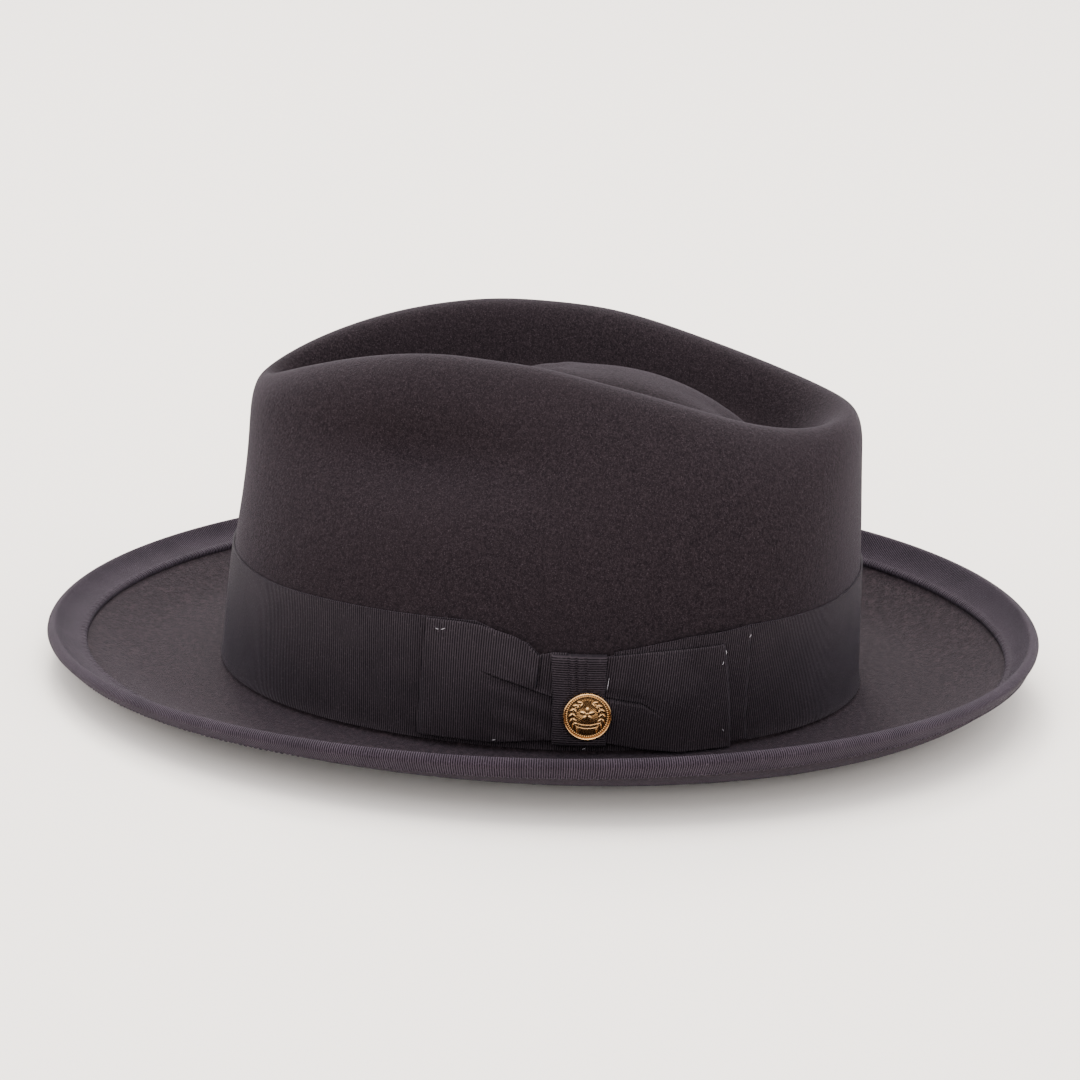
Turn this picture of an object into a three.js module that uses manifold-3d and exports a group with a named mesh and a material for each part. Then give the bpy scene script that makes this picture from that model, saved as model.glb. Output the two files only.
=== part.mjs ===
// Teardrop fedora: a one-piece fur felt body with a grosgrain band and side bow, a bound brim,
// a turning metal badge on the bow's knot, a leather sweatband and a satin lining.
// Millimetres, +Z up. The front of the hat is -Y and the wearer's left is +X.
// The origin is at the middle of the hat's box in plan, on the surface that the hat stands on.
import * as THREE from 'three';
import { mergeVertices } from 'three/addons/utils/BufferGeometryUtils.js';
import Module from 'manifold-3d';

const wasm = await Module();
wasm.setup();

// ---------------------------------------------------------------- driving dimensions
const FELT = 2.0;              // felt thickness
const GAP = 0.3;               // clearance between pieces that touch
const RIBBON = 0.5;            // grosgrain thickness
const LOOP_THICK = 1.6;        // flattened bow loop
const AROUND = 48;             // facets around the hat
const BAND_BOTTOM = 3.6;       // hat band, height above the table
const BAND_TOP = 41.5;
const BADGE_ALONG = 26.5;      // place of the badge along the hat (Y)
const KNOT_ALONG = 23;         // place of the bow's knot, a little ahead of the badge
const KNOT_WIDTH = 16.5;
const KNOT_HIGH = 34;
const BADGE_RADIUS = 7.5;
const BADGE_HEIGHT = 15.6;     // height of the badge's middle
const POST_RADIUS = 0.7;
const POST_CLEARANCE = 0.3;    // radial clearance around the badge's post
const BINDING_TOP = 10;        // width of the brim binding on the brim's top
const BINDING_UNDER = 4.8;     // and on its underside
const BINDING_OFF = 0.4;       // from the felt to the binding
const LEATHER = 1.1;           // sweatband thickness
const LEATHER_BOTTOM = 4.2;
const LEATHER_TOP = 46;
const LEATHER_OFF = 1.7;       // from the felt's inside to the leather's back
const LINING = 0.5;            // satin thickness
const LINING_HEM = 35;         // the lining's lower edge, tucked behind the leather
const LINING_SEAM = 66;        // height of the seam between the lining's wall and its tip

// Control rows of the felt's outer surface, from the middle of the crown out to the brim's edge.
// Each row is an egg-shaped ring: half width, half length, shift to the rear, squareness and
// taper to the front, and its height as a polynomial of s, which runs from -1 at the hat's
// front to +1 at its back.
const RIDGE_HEIGHT = [115.5, -11.5, -25.7, 11.3, 7];
const BUMP_HEIGHT = [102.5, 5, -20.3, -5.3];
const raised = (heights, by) => heights.map((h, i) => (i === 0 ? h + by : h));
const ROWS = [
  { name: 'spine', width: 0, length: 53.7, shift: 8.2, square: 0, taper: 0, height: BUMP_HEIGHT },
  { name: 'bump', width: 15, length: 63.7, shift: 6.2, square: 0.02, taper: 0.1,
    height: raised(BUMP_HEIGHT, -1.5) },
  { name: 'crease', width: 24, length: 73, shift: 2.5, square: 0.03, taper: 0.24,
    height: [86.5, -6, -10, 3] },
  { name: 'inner wall', width: 31, length: 81.5, shift: 1.9, square: 0.02, taper: 0.24,
    height: raised(RIDGE_HEIGHT, -12) },
  { name: 'ridge', width: 39.8, length: 93.4, shift: 1.9, square: 0.008, taper: 0.24,
    height: RIDGE_HEIGHT },
  { name: 'shoulder', width: 52.6, length: 97.9, shift: 1.9, square: 0.03, taper: 0.134,
    height: [105.5, -10.4, -23.1, 10.2, 6.3] },
  { name: 'side', width: 64, length: 98, shift: 1.8, square: 0.03, taper: 0.18, height: [86, -2, -8, 2] },
  { name: 'belly', width: 76.2, length: 98.2, shift: 2.2, square: 0.03, taper: 0.06, height: [66] },
  { name: 'band top', width: 82.2, length: 100.2, shift: 1.2, square: 0.03, taper: 0, height: [42] },
  { name: 'wall', width: 84, length: 101.4, shift: 0.4, square: 0.012, taper: 0, height: [20] },
  { name: 'base', width: 84.7, length: 102, shift: 0, square: 0.006, taper: 0, height: [7] },
  { name: 'foot', width: 84.9, length: 102.2, shift: 0, square: 0.005, taper: 0, height: [2.4] },
  { name: 'break', width: 86.8, length: 104, shift: 0, square: 0.004, taper: 0, height: [FELT] },
  { name: 'flat 1', width: 94, length: 111, shift: 0, square: 0.003, taper: 0, height: [FELT] },
  { name: 'flat 2', width: 102, length: 119, shift: 0, square: 0.002, taper: 0, height: [FELT] },
  { name: 'flat 3', width: 112, length: 129, shift: 0, square: 0.001, taper: 0, height: [3.4, 0, -1.4] },
  { name: 'dish', width: 122, length: 139, shift: 0, square: 0, taper: 0, height: [6.8, 0, -1.8] },
  { name: 'curl', width: 132, length: 148.5, shift: 0, square: 0, taper: 0, height: [10.6, 1, -1.6] },
  { name: 'rim', width: 138.3, length: 154, shift: 0, square: 0, taper: 0, height: [14.3, 2.7, -2.4] },
  { name: 'edge', width: 141.3, length: 157, shift: 0, square: 0, taper: 0, height: [18.5, 3.9, -2.4] },
];
const LAST_ROW = ROWS.length - 1;
const RIDGE_ROW = ROWS.findIndex((row) => row.name === 'ridge');
const SIDE_ROW = ROWS.findIndex((row) => row.name === 'side');
const WALL_ROW = ROWS.findIndex((row) => row.name === 'wall');
const BREAK_ROW = ROWS.findIndex((row) => row.name === 'break');

// The finger pinch pressed into each side of the crown, towards the front.
const PINCH = { depth: 10, along: -30, reach: 30, height: 86, spread: 10, soft: 8 };

// ---------------------------------------------------------------- the felt's surface

// A point of one control row at the angle phi, which starts at the hat's front and turns to the left.
function rowPoint(row, phi) {
  const s = -Math.cos(phi);
  const x = row.width * (Math.sin(phi) + row.square * Math.sin(3 * phi)) / (1 - row.square);
  const y = row.length * (Math.cos(phi) - row.square * Math.cos(3 * phi)) / (1 - row.square);
  const z = row.height.reduce((sum, h, i) => sum + h * s ** i, 0);
  return new THREE.Vector3(x * (1 + row.taper * s), row.shift - y, z);
}

// A uniform cubic B-spline through the control rows; t counts rows from the crown's middle.
function smoothPoint(phi, t) {
  const first = Math.min(Math.floor(t), LAST_ROW - 1);
  const u = t - first;
  const weights = [(1 - u) ** 3, 3 * u ** 3 - 6 * u * u + 4, -3 * u ** 3 + 3 * u * u + 3 * u + 1, u ** 3];
  const point = new THREE.Vector3();
  weights.forEach((weight, i) => {
    const index = first + i - 1;
    const control = rowPoint(ROWS[Math.min(Math.abs(index), LAST_ROW)], phi);
    if (index < 0) {
      control.x *= -1;
    }
    if (index > LAST_ROW) {
      control.multiplyScalar(2).sub(rowPoint(ROWS[LAST_ROW - 1], phi));
    }
    point.addScaledVector(control, weight / 6);
  });
  return point;
}

// The same surface with the finger pinches pressed in. They fade out between the side and the ridge.
function outerPoint(phi, t) {
  const point = smoothPoint(phi, t);
  const along = (point.y - PINCH.along) / PINCH.reach;
  const up = (point.z - PINCH.height) / PINCH.spread;
  const pressed = PINCH.depth * Math.exp(-along * along - up * up);
  const fade = THREE.MathUtils.smoothstep(t, RIDGE_ROW, SIDE_ROW);
  point.x -= Math.tanh(point.x / PINCH.soft) * pressed * fade;
  return point;
}

// On the crown's middle line, t = 0, the two halves meet and the normal has no sideways part.
function outerNormal(phi, t) {
  const step = 1e-3;
  const low = Math.max(t - step, 0);
  const high = Math.min(t + step, LAST_ROW);
  const middle = (low + high) / 2;
  const across = outerPoint(phi, high).sub(outerPoint(phi, low));
  const around = outerPoint(phi + step, middle).sub(outerPoint(phi - step, middle));
  const normal = across.cross(around);
  if (t === 0) {
    normal.x = 0;
  }
  return normal.normalize();
}

// A point off the felt: positive is out from its outer face, and below -FELT is inside the hat.
function feltPoint(phi, t, off = 0) {
  return outerPoint(phi, t).addScaledVector(outerNormal(phi, t), off);
}

// The row count t at which the crown's wall, or the face that lies off from it, has the given height.
function wallRow(phi, z, off = 0) {
  let low = SIDE_ROW - 1;
  let high = BREAK_ROW + 1;
  for (let i = 0; i < 30; i += 1) {
    const middle = (low + high) / 2;
    if (feltPoint(phi, middle, off).z > z) {
      low = middle;
    } else {
      high = middle;
    }
  }
  return (low + high) / 2;
}

// The level direction that points straight out of the crown's wall.
function wallOut(phi) {
  const out = outerNormal(phi, WALL_ROW);
  out.z = 0;
  return out.normalize();
}

// Points at a given height, a level distance out from the wall or in from the felt's inside.
const outside = (phi, z, off) => outerPoint(phi, wallRow(phi, z)).addScaledVector(wallOut(phi), off);
const inside = (phi, z, off) => (
  feltPoint(phi, wallRow(phi, z, -FELT), -FELT).addScaledVector(wallOut(phi), -off));

// The angle at which the wall, on the hat's left, passes the place y.
function angleAt(y, z = 20) {
  let low = 0;
  let high = Math.PI;
  for (let i = 0; i < 30; i += 1) {
    const middle = (low + high) / 2;
    if (outside(middle, z, 0).y < y) {
      low = middle;
    } else {
      high = middle;
    }
  }
  return (low + high) / 2;
}

// ---------------------------------------------------------------- building blocks
const range = (count, from, to) => Array.from({ length: count + 1 }, (_, i) => from + (to - from) * i / count);
const ringAngles = () => range(AROUND, 0, 2 * Math.PI).slice(0, -1);

const group = new THREE.Group();

function addMesh(name, geometry, look) {
  const mesh = new THREE.Mesh(geometry, new THREE.MeshStandardMaterial(look));
  mesh.name = name;
  group.add(mesh);
  return mesh;
}

// A closed body between two matching grids of points, outer[i][j] and inner[i][j]. i runs around
// the hat and j across the piece. A ring closes on itself; an open strip gets ends. A disc has
// its middle at j = 0, where it needs no edge.
function bandGeometry(outer, inner, { ring = true, disc = false } = {}) {
  const positions = [];
  const triangle = (a, b, c) => positions.push(...a, ...b, ...c);
  const quad = (a, b, c, d) => {
    triangle(a, b, c);
    triangle(a, c, d);
  };
  const rows = outer.length;
  const last = outer[0].length - 1;
  for (let i = 0; i < (ring ? rows : rows - 1); i += 1) {
    const k = (i + 1) % rows;
    for (let j = 0; j < last; j += 1) {
      quad(outer[i][j], outer[i][j + 1], outer[k][j + 1], outer[k][j]);
      quad(inner[i][j], inner[k][j], inner[k][j + 1], inner[i][j + 1]);
    }
    quad(outer[i][last], inner[i][last], inner[k][last], outer[k][last]);
    if (!disc) {
      quad(outer[i][0], outer[k][0], inner[k][0], inner[i][0]);
    }
  }
  if (!ring) {
    for (let j = 0; j < last; j += 1) {
      quad(outer[0][j], inner[0][j], inner[0][j + 1], outer[0][j + 1]);
      quad(outer[rows - 1][j], outer[rows - 1][j + 1], inner[rows - 1][j + 1], inner[rows - 1][j]);
    }
  }
  return solidGeometry(positions);
}

// Merges the corners of a triangle soup, drops its empty triangles and turns its faces outwards.
function solidGeometry(positions) {
  const soup = new THREE.BufferGeometry();
  soup.setAttribute('position', new THREE.Float32BufferAttribute(positions, 3));
  const merged = mergeVertices(soup, 1e-3);
  const index = merged.index.array;
  const kept = [];
  let volume = 0;
  const [a, b, c] = [new THREE.Vector3(), new THREE.Vector3(), new THREE.Vector3()];
  for (let i = 0; i < index.length; i += 3) {
    const corners = [index[i], index[i + 1], index[i + 2]];
    if (new Set(corners).size === 3) {
      kept.push(...corners);
      [a, b, c].forEach((v, n) => v.fromBufferAttribute(merged.attributes.position, corners[n]));
      volume += a.dot(b.cross(c));
    }
  }
  merged.setIndex(volume > 0 ? kept : kept.reverse());
  return merged;
}

function asSolid(geometry) {
  const bare = new THREE.BufferGeometry();
  bare.setAttribute('position', geometry.attributes.position);
  bare.setIndex(geometry.index);
  const merged = mergeVertices(bare, 1e-4);
  return new wasm.Manifold(new wasm.Mesh({
    numProp: 3,
    vertProperties: new Float32Array(merged.attributes.position.array),
    triVerts: new Uint32Array(merged.index.array),
  }));
}

function asGeometry(solid) {
  const mesh = solid.getMesh();
  const geometry = new THREE.BufferGeometry();
  geometry.setAttribute('position', new THREE.Float32BufferAttribute(mesh.vertProperties, 3));
  geometry.setIndex([...mesh.triVerts]);
  return geometry;
}

// A round tube that follows the inside of the hat all the way round.
function tubeGeometry(centre, radius, sides = 6) {
  const half = sides / 2;
  const section = (phi, from) => range(half, from, from + Math.PI).map((turn) => {
    const out = new THREE.Vector3(Math.sin(phi), -Math.cos(phi), 0);
    return centre(phi).addScaledVector(out, radius * Math.cos(turn)).add(
      new THREE.Vector3(0, 0, radius * Math.sin(turn)));
  });
  const outer = ringAngles().map((phi) => section(phi, 0));
  const inner = ringAngles().map((phi) => section(phi, Math.PI).reverse());
  return bandGeometry(outer, inner);
}

// ---------------------------------------------------------------- the felt and its brim
const rowCounts = [
  ...range(6, 0, 3), 3.4, 3.7, 4, 4.3, 4.7, 5.3, ...range(6, 6, 9), 10, 10.7, ...range(3, 11.2, 12.4),
  13, 14, 15, 16, 17, ...range(2, 18, LAST_ROW),
];

function feltBody() {
  const outer = ringAngles().map((phi) => rowCounts.map((t) => feltPoint(phi, t)));
  const inner = ringAngles().map((phi) => rowCounts.map((t) => feltPoint(phi, t, -FELT)));
  return bandGeometry(outer, inner, { disc: true });
}

// The row count at the given distance in from the brim's edge, along the cloth.
function rowFromEdge(phi, distance) {
  let t = LAST_ROW;
  let left = distance;
  const step = 0.02;
  while (left > 0) {
    left -= smoothPoint(phi, t).distanceTo(smoothPoint(phi, t - step));
    t -= step;
  }
  return t;
}

// A ribbon folded over the brim's edge.
function brimBinding() {
  const section = (phi, skin) => {
    const top = [rowFromEdge(phi, BINDING_TOP), ...range(2, LAST_ROW - 1, LAST_ROW)];
    const under = [LAST_ROW, LAST_ROW - 0.5, rowFromEdge(phi, BINDING_UNDER)];
    const away = outerPoint(phi, LAST_ROW).sub(outerPoint(phi, LAST_ROW - 0.1)).normalize();
    const off = BINDING_OFF + skin;
    const edge = [off, -FELT / 2, -FELT - off].map((out) => (
      feltPoint(phi, LAST_ROW, out).addScaledVector(away, off)));
    return [
      ...top.map((t) => feltPoint(phi, t, off)),
      ...edge,
      ...under.map((t) => feltPoint(phi, t, -FELT - off)),
    ];
  };
  const outer = ringAngles().map((phi) => section(phi, RIBBON));
  const inner = ringAngles().map((phi) => section(phi, 0));
  return bandGeometry(outer, inner);
}

// ---------------------------------------------------------------- band and bow
const BAND_FACE = GAP + RIBBON;

// A strip on the outside of the crown's wall. zLow, zHigh and off may change with the angle.
function wallStrip({ from, to, steps, zLow, zHigh, off, thick, levels = 3 }) {
  const layer = (skin) => range(steps, from, to).map((phi, i) => (
    range(levels, zHigh(i / steps), zLow(i / steps)).map((z, j) => (
      outside(phi, z, off(i / steps, j / levels) + skin)))));
  return bandGeometry(layer(thick), layer(0), { ring: false });
}

// The band's top edge, which dips where the knot draws the ribbon in.
const BAND_DIP = { depth: 8, reach: 16 };
function bandTop(phi) {
  const place = outside(phi, BADGE_HEIGHT, 0);
  const along = (place.y - KNOT_ALONG) / BAND_DIP.reach;
  return BAND_TOP - (place.x > 0 ? BAND_DIP.depth * Math.exp(-along * along) : 0);
}

// The band is one ribbon; its ends butt under the bow, behind the knot.
function hatBand() {
  const facet = 2 * Math.PI / AROUND;
  const joint = facet * Math.round(angleAt(KNOT_ALONG + KNOT_WIDTH) / facet);
  const slit = 0.004;
  const layer = (off) => range(AROUND, joint + slit, joint + 2 * Math.PI - slit).map((phi) => (
    range(3, bandTop(phi), BAND_BOTTOM).map((z) => outside(phi, z, off))));
  return bandGeometry(layer(GAP + RIBBON), layer(GAP), { ring: false });
}

const BOW_OFF = BAND_FACE + 0.45;         // clear of the band's facets
const BOW = { front: -24, rear: 69, tail: 75, neck: 8.75 };

const mix = (a, b, u) => a + (b - a) * u;
const swell = (u) => Math.sin(Math.PI * u);

// The flat under-layer of the bow, whose end shows behind the rear loop.
function bowTail() {
  return wallStrip({
    from: angleAt(KNOT_ALONG + BOW.neck), to: angleAt(BOW.tail), steps: 6,
    zLow: () => BAND_BOTTOM + 1, zHigh: (u) => mix(BAND_TOP - 0.5, KNOT_HIGH, (1 - u) ** 2),
    off: () => BOW_OFF, thick: RIBBON,
  });
}

const LOOP_NECK_LOW = 8;           // lower edge of each loop at the knot
const LOOP_OFF = BOW_OFF + RIBBON + 0.35;

// A flattened loop of ribbon that narrows to the knot.
function bowLoop(end) {
  const knotSide = KNOT_ALONG + Math.sign(end - KNOT_ALONG) * BOW.neck;
  return wallStrip({
    from: angleAt(Math.min(end, knotSide)), to: angleAt(Math.max(end, knotSide)), steps: 7,
    zLow: (u) => mix(BAND_BOTTOM + 1, LOOP_NECK_LOW, end < KNOT_ALONG ? u ** 2 : (1 - u) ** 2),
    zHigh: (u) => mix(BAND_TOP - 1, KNOT_HIGH, end < KNOT_ALONG ? u ** 2 : (1 - u) ** 2),
    off: () => LOOP_OFF, thick: LOOP_THICK, levels: 4,
  });
}

// The short ribbon around the middle of the bow: a front face whose two ends turn in behind it.
const KNOT = { low: 6.4, high: KNOT_HIGH, off: LOOP_OFF + LOOP_THICK + 0.35, skin: 0.6 };

function bowKnot() {
  const face = (phi, skin) => {
    const high = KNOT.high + skin;
    const low = KNOT.low - skin;
    const back = BOW_OFF;
    return [
      outside(phi, high, back),
      outside(phi, high, KNOT.off + skin - 1),
      outside(phi, high - 1, KNOT.off + skin),
      ...range(3, KNOT.high - 3, KNOT.low + 3).map((z) => outside(phi, z, KNOT.off + skin)),
      outside(phi, low + 1, KNOT.off + skin),
      outside(phi, low, KNOT.off + skin - 1),
      outside(phi, low, back),
    ];
  };
  const angles = range(3, angleAt(KNOT_ALONG - KNOT_WIDTH / 2), angleAt(KNOT_ALONG + KNOT_WIDTH / 2));
  return bandGeometry(
    angles.map((phi) => face(phi, KNOT.skin)), angles.map((phi) => face(phi, 0)), { ring: false });
}

// ---------------------------------------------------------------- badge
const badgeAngle = angleAt(BADGE_ALONG);
const badgeRow = wallRow(badgeAngle, BADGE_HEIGHT);
const badgeOut = outerNormal(badgeAngle, badgeRow);
const KNOT_FACE = KNOT.off + KNOT.skin;
const badgeAt = (off) => outerPoint(badgeAngle, badgeRow).addScaledVector(badgeOut, off);

// Turns a geometry made about +Y to stand out from the hat at the badge.
function onBadgeAxis(geometry, off) {
  const turn = new THREE.Quaternion().setFromUnitVectors(new THREE.Vector3(0, 1, 0), badgeOut);
  const at = badgeAt(off);
  return geometry.applyQuaternion(turn).translate(at.x, at.y, at.z);
}

const profile = (points) => points.map(([r, h]) => new THREE.Vector2(r, h));

// A struck disc with a raised rim and a slightly domed face.
const BADGE = { back: 0.35, thick: 1.6, rim: 0.9 };
function badgeFace() {
  const r = BADGE_RADIUS;
  const shape = profile([
    [0, 0], [r - 0.5, 0], [r, 0.5], [r, BADGE.thick - 0.4], [r - 0.4, BADGE.thick],
    [r - BADGE.rim, BADGE.thick], [r - BADGE.rim - 0.3, BADGE.thick - 0.5], [r / 2, BADGE.thick - 0.2],
    [0, BADGE.thick],
  ]);
  return onBadgeAxis(new THREE.LatheGeometry(shape, 24), KNOT_FACE + BADGE.back);
}

const CLUTCH = { radius: 4, thick: 2, off: 0.4 };
const postInner = -FELT - CLUTCH.off - CLUTCH.thick;
const postOuter = KNOT_FACE + BADGE.back - 0.1;
const boreLength = 40;

function badgePost() {
  const length = postOuter - postInner - 0.2;
  return onBadgeAxis(
    new THREE.CylinderGeometry(POST_RADIUS, POST_RADIUS, length, 16), (postOuter + postInner) / 2 + 0.1);
}

// The bore that the post turns in, through the knot, the band and the felt.
function postBore() {
  const radius = (POST_RADIUS + POST_CLEARANCE) / Math.cos(Math.PI / 16);
  return asSolid(onBadgeAxis(new THREE.CylinderGeometry(radius, radius, boreLength, 16), 0));
}
const bored = (geometry) => asGeometry(asSolid(geometry).subtract(postBore()));

// The push-on clutch on the post's end, inside the crown and behind the leather.
function badgeClutch() {
  const bore = POST_RADIUS + POST_CLEARANCE;
  const shape = profile([
    [bore, 0], [CLUTCH.radius - 0.4, 0], [CLUTCH.radius, 0.4], [CLUTCH.radius, 1.0], [2.4, 1.1],
    [2.2, CLUTCH.thick], [bore, CLUTCH.thick], [bore, 0],
  ]);
  return onBadgeAxis(new THREE.LatheGeometry(shape, 20), postInner);
}

// ---------------------------------------------------------------- sweatband

// The leather stands off further where it passes over the badge's clutch.
const CLUTCH_BULGE = { rise: 1.7, along: 14, up: 10 };
function leatherOff(phi, z) {
  const place = outside(phi, z, 0);
  const along = (place.y - badgeAt(0).y) / CLUTCH_BULGE.along;
  const up = (z - BADGE_HEIGHT) / CLUTCH_BULGE.up;
  const near = place.x > 0 ? Math.exp(-along * along - up * up) : 0;
  return LEATHER_OFF + CLUTCH_BULGE.rise * near;
}

const BACK = Math.PI;

// One strip of leather, whose ends butt at the back of the hat.
function sweatbandLeather() {
  const slit = 0.003;
  const layer = (skin) => range(AROUND, BACK + slit, BACK + 2 * Math.PI - slit).map((phi) => (
    range(4, LEATHER_TOP, LEATHER_BOTTOM).map((z) => inside(phi, z, leatherOff(phi, z) + skin))));
  return bandGeometry(layer(0), layer(LEATHER), { ring: false });
}

const REED = { radius: 1.0, height: 2.3, off: 2.2 };
const sweatbandReed = () => tubeGeometry((phi) => inside(phi, REED.height, REED.off), REED.radius);

// The tape that joins the leather to the felt, behind the reed.
function sweatbandTape() {
  const layer = (off) => ringAngles().map((phi) => range(2, 10, 2.2).map((z) => inside(phi, z, off)));
  return bandGeometry(layer(0.35), layer(0.65));
}

// The cloth stay behind the leather's back seam.
function sweatbandStay() {
  const layer = (off) => range(3, BACK - 0.1, BACK + 0.1).map((phi) => (
    range(2, 33, 12).map((z) => inside(phi, z, off))));
  return bandGeometry(layer(0.45), layer(0.85), { ring: false });
}

const LEATHER_FACE = LEATHER_OFF + LEATHER;
const SEAM_BOW = { height: 13, half: 13, low: 9.5, high: 17, thick: 1.4, knot: 2.4 };

// One side of the little ribbon bow that is tacked over the leather's back seam.
function seamBowLoop(side) {
  const radius = inside(BACK, SEAM_BOW.height, LEATHER_FACE).y;
  const end = BACK + side * SEAM_BOW.half / radius;
  const start = BACK + side * (SEAM_BOW.knot + 0.4) / radius;
  const pinch = (u) => mix(0.55, 1, swell(u / 2));
  const middle = (SEAM_BOW.low + SEAM_BOW.high) / 2;
  const half = (SEAM_BOW.high - SEAM_BOW.low) / 2;
  const layer = (skin) => range(4, start, end).map((phi, i) => (
    range(2, middle + half * pinch(i / 4), middle - half * pinch(i / 4)).map((z) => (
      inside(phi, z, LEATHER_FACE + 0.4 + skin)))));
  return bandGeometry(layer(0), layer(SEAM_BOW.thick), { ring: false });
}

function seamBowKnot() {
  const radius = inside(BACK, SEAM_BOW.height, LEATHER_FACE).y;
  const half = SEAM_BOW.knot / radius;
  const layer = (skin) => range(2, BACK - half, BACK + half).map((phi) => (
    range(2, SEAM_BOW.high - 1, SEAM_BOW.low + 1).map((z) => (
      inside(phi, z, LEATHER_FACE + 0.4 + skin)))));
  return bandGeometry(layer(0), layer(SEAM_BOW.thick + 0.6), { ring: false });
}

// The blank size tab, tucked behind the leather beside the back seam.
function sizeTab() {
  const layer = (off) => range(2, BACK + 0.22, BACK + 0.44).map((phi) => (
    range(2, 32, 14).map((z) => inside(phi, z, off))));
  return bandGeometry(layer(0.5), layer(0.8), { ring: false });
}

// ---------------------------------------------------------------- lining
const LINING_OFF = 0.7;

// How far the lining hangs off the felt: close behind the leather, freer towards the seam.
const liningOff = (z) => LINING_OFF + 1.5 * Math.max(0, (z - LEATHER_TOP) / (LINING_SEAM - LEATHER_TOP));

function liningWall() {
  const layer = (skin) => ringAngles().map((phi) => (
    range(5, LINING_SEAM - 1, LINING_HEM).map((z) => inside(phi, z, liningOff(z) + skin))));
  return bandGeometry(layer(0), layer(LINING));
}

const PIPING_RADIUS = 0.9;
const pipingAt = (phi) => inside(phi, LINING_SEAM + 0.6, liningOff(LINING_SEAM) + 1.2);
const liningPiping = () => tubeGeometry(pipingAt, PIPING_RADIUS);

// A shallow dome inside the piping: u is 0 at its middle and 1 at its edge.
function domePoint(phi, u, rise, reach, height) {
  const edge = pipingAt(phi);
  return new THREE.Vector3(edge.x * u * reach, edge.y * u * reach, height + rise * (1 - u * u));
}

const TIP_RISE = 5;
function liningTip() {
  const reach = 0.97;
  const spread = range(3, 0, 1);
  const layer = (drop) => ringAngles().map((phi) => (
    spread.map((u) => domePoint(phi, u, TIP_RISE, reach, LINING_SEAM + 0.6 - drop))));
  return bandGeometry(layer(0), layer(LINING), { disc: true });
}

// The clear shield over the middle of the lining's tip.
function tipShield() {
  const reach = 0.62;
  const spread = range(2, 0, 1);
  const rise = TIP_RISE * (reach / 0.97) ** 2;
  const edgeHeight = LINING_SEAM + 0.6 - LINING + TIP_RISE - rise;
  const layer = (drop) => ringAngles().map((phi) => (
    spread.map((u) => domePoint(phi, u, rise, reach, edgeHeight - 0.5 - drop))));
  return bandGeometry(layer(0), layer(0.3), { disc: true });
}

// ---------------------------------------------------------------- assembly
const FELT_LOOK = { color: 0x4a4144, roughness: 0.95, metalness: 0 };
const RIBBON_LOOK = { color: 0x2b2728, roughness: 0.7, metalness: 0 };
const BRASS_LOOK = { color: 0xb08d57, roughness: 0.3, metalness: 1 };
const LEATHER_LOOK = { color: 0x2a1d17, roughness: 0.5, metalness: 0 };
const SATIN_LOOK = { color: 0x8c8490, roughness: 0.35, metalness: 0 };

addMesh('felt_body', bored(feltBody()), FELT_LOOK);
addMesh('brim_binding', brimBinding(), RIBBON_LOOK);
addMesh('hat_band', bored(hatBand()), RIBBON_LOOK);
addMesh('bow_tail', bowTail(), RIBBON_LOOK);
addMesh('bow_front_loop', bowLoop(BOW.front), RIBBON_LOOK);
addMesh('bow_rear_loop', bowLoop(BOW.rear), RIBBON_LOOK);
addMesh('bow_knot', bored(bowKnot()), RIBBON_LOOK);
addMesh('badge_face', badgeFace(), BRASS_LOOK);
addMesh('badge_post', badgePost(), BRASS_LOOK);
addMesh('badge_clutch', badgeClutch(), BRASS_LOOK);
addMesh('sweatband_leather', sweatbandLeather(), LEATHER_LOOK);
addMesh('sweatband_reed', sweatbandReed(), LEATHER_LOOK);
addMesh('sweatband_tape', sweatbandTape(), RIBBON_LOOK);
addMesh('sweatband_stay', sweatbandStay(), RIBBON_LOOK);
addMesh('seam_bow_left', seamBowLoop(-1), RIBBON_LOOK);
addMesh('seam_bow_right', seamBowLoop(1), RIBBON_LOOK);
addMesh('seam_bow_knot', seamBowKnot(), RIBBON_LOOK);
addMesh('size_tab', sizeTab(), { color: 0xe8e4da, roughness: 0.8, metalness: 0 });
addMesh('lining_wall', liningWall(), SATIN_LOOK);
addMesh('lining_tip', liningTip(), SATIN_LOOK);
addMesh('lining_piping', liningPiping(), SATIN_LOOK);
addMesh('tip_shield', tipShield(), { color: 0xdfe6ea, roughness: 0.1, metalness: 0 });

export default group;
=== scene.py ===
import math

import bmesh
import bpy
import numpy as np
from mathutils import Matrix, Vector

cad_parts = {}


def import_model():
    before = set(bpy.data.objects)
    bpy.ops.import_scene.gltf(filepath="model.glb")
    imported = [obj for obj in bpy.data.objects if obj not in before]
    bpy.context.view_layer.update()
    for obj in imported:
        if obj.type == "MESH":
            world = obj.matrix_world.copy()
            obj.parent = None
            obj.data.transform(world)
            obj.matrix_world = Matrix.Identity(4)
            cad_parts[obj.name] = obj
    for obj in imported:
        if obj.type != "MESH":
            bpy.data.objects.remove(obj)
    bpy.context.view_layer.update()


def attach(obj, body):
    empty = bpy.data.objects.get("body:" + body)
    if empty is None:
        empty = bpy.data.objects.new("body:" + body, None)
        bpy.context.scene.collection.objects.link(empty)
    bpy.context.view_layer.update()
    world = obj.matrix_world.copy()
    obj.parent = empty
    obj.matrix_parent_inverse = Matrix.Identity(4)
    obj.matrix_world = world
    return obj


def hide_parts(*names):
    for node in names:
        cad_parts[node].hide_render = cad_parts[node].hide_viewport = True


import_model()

# The fine surface of a teardrop fedora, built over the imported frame. Formulas are in millimetres,
# with the front of the hat at -Y and the wearer's left at +X, and meshes are made in metres.
MM = 0.001
FELT = 2.0               # felt thickness
RIBBON = 0.45            # grosgrain thickness
RIB_PITCH = 0.72         # distance between the ribs of the grosgrain
BAND_BOTTOM = 3.4        # hat band, height above the table
BAND_TOP = 41.6
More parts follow.
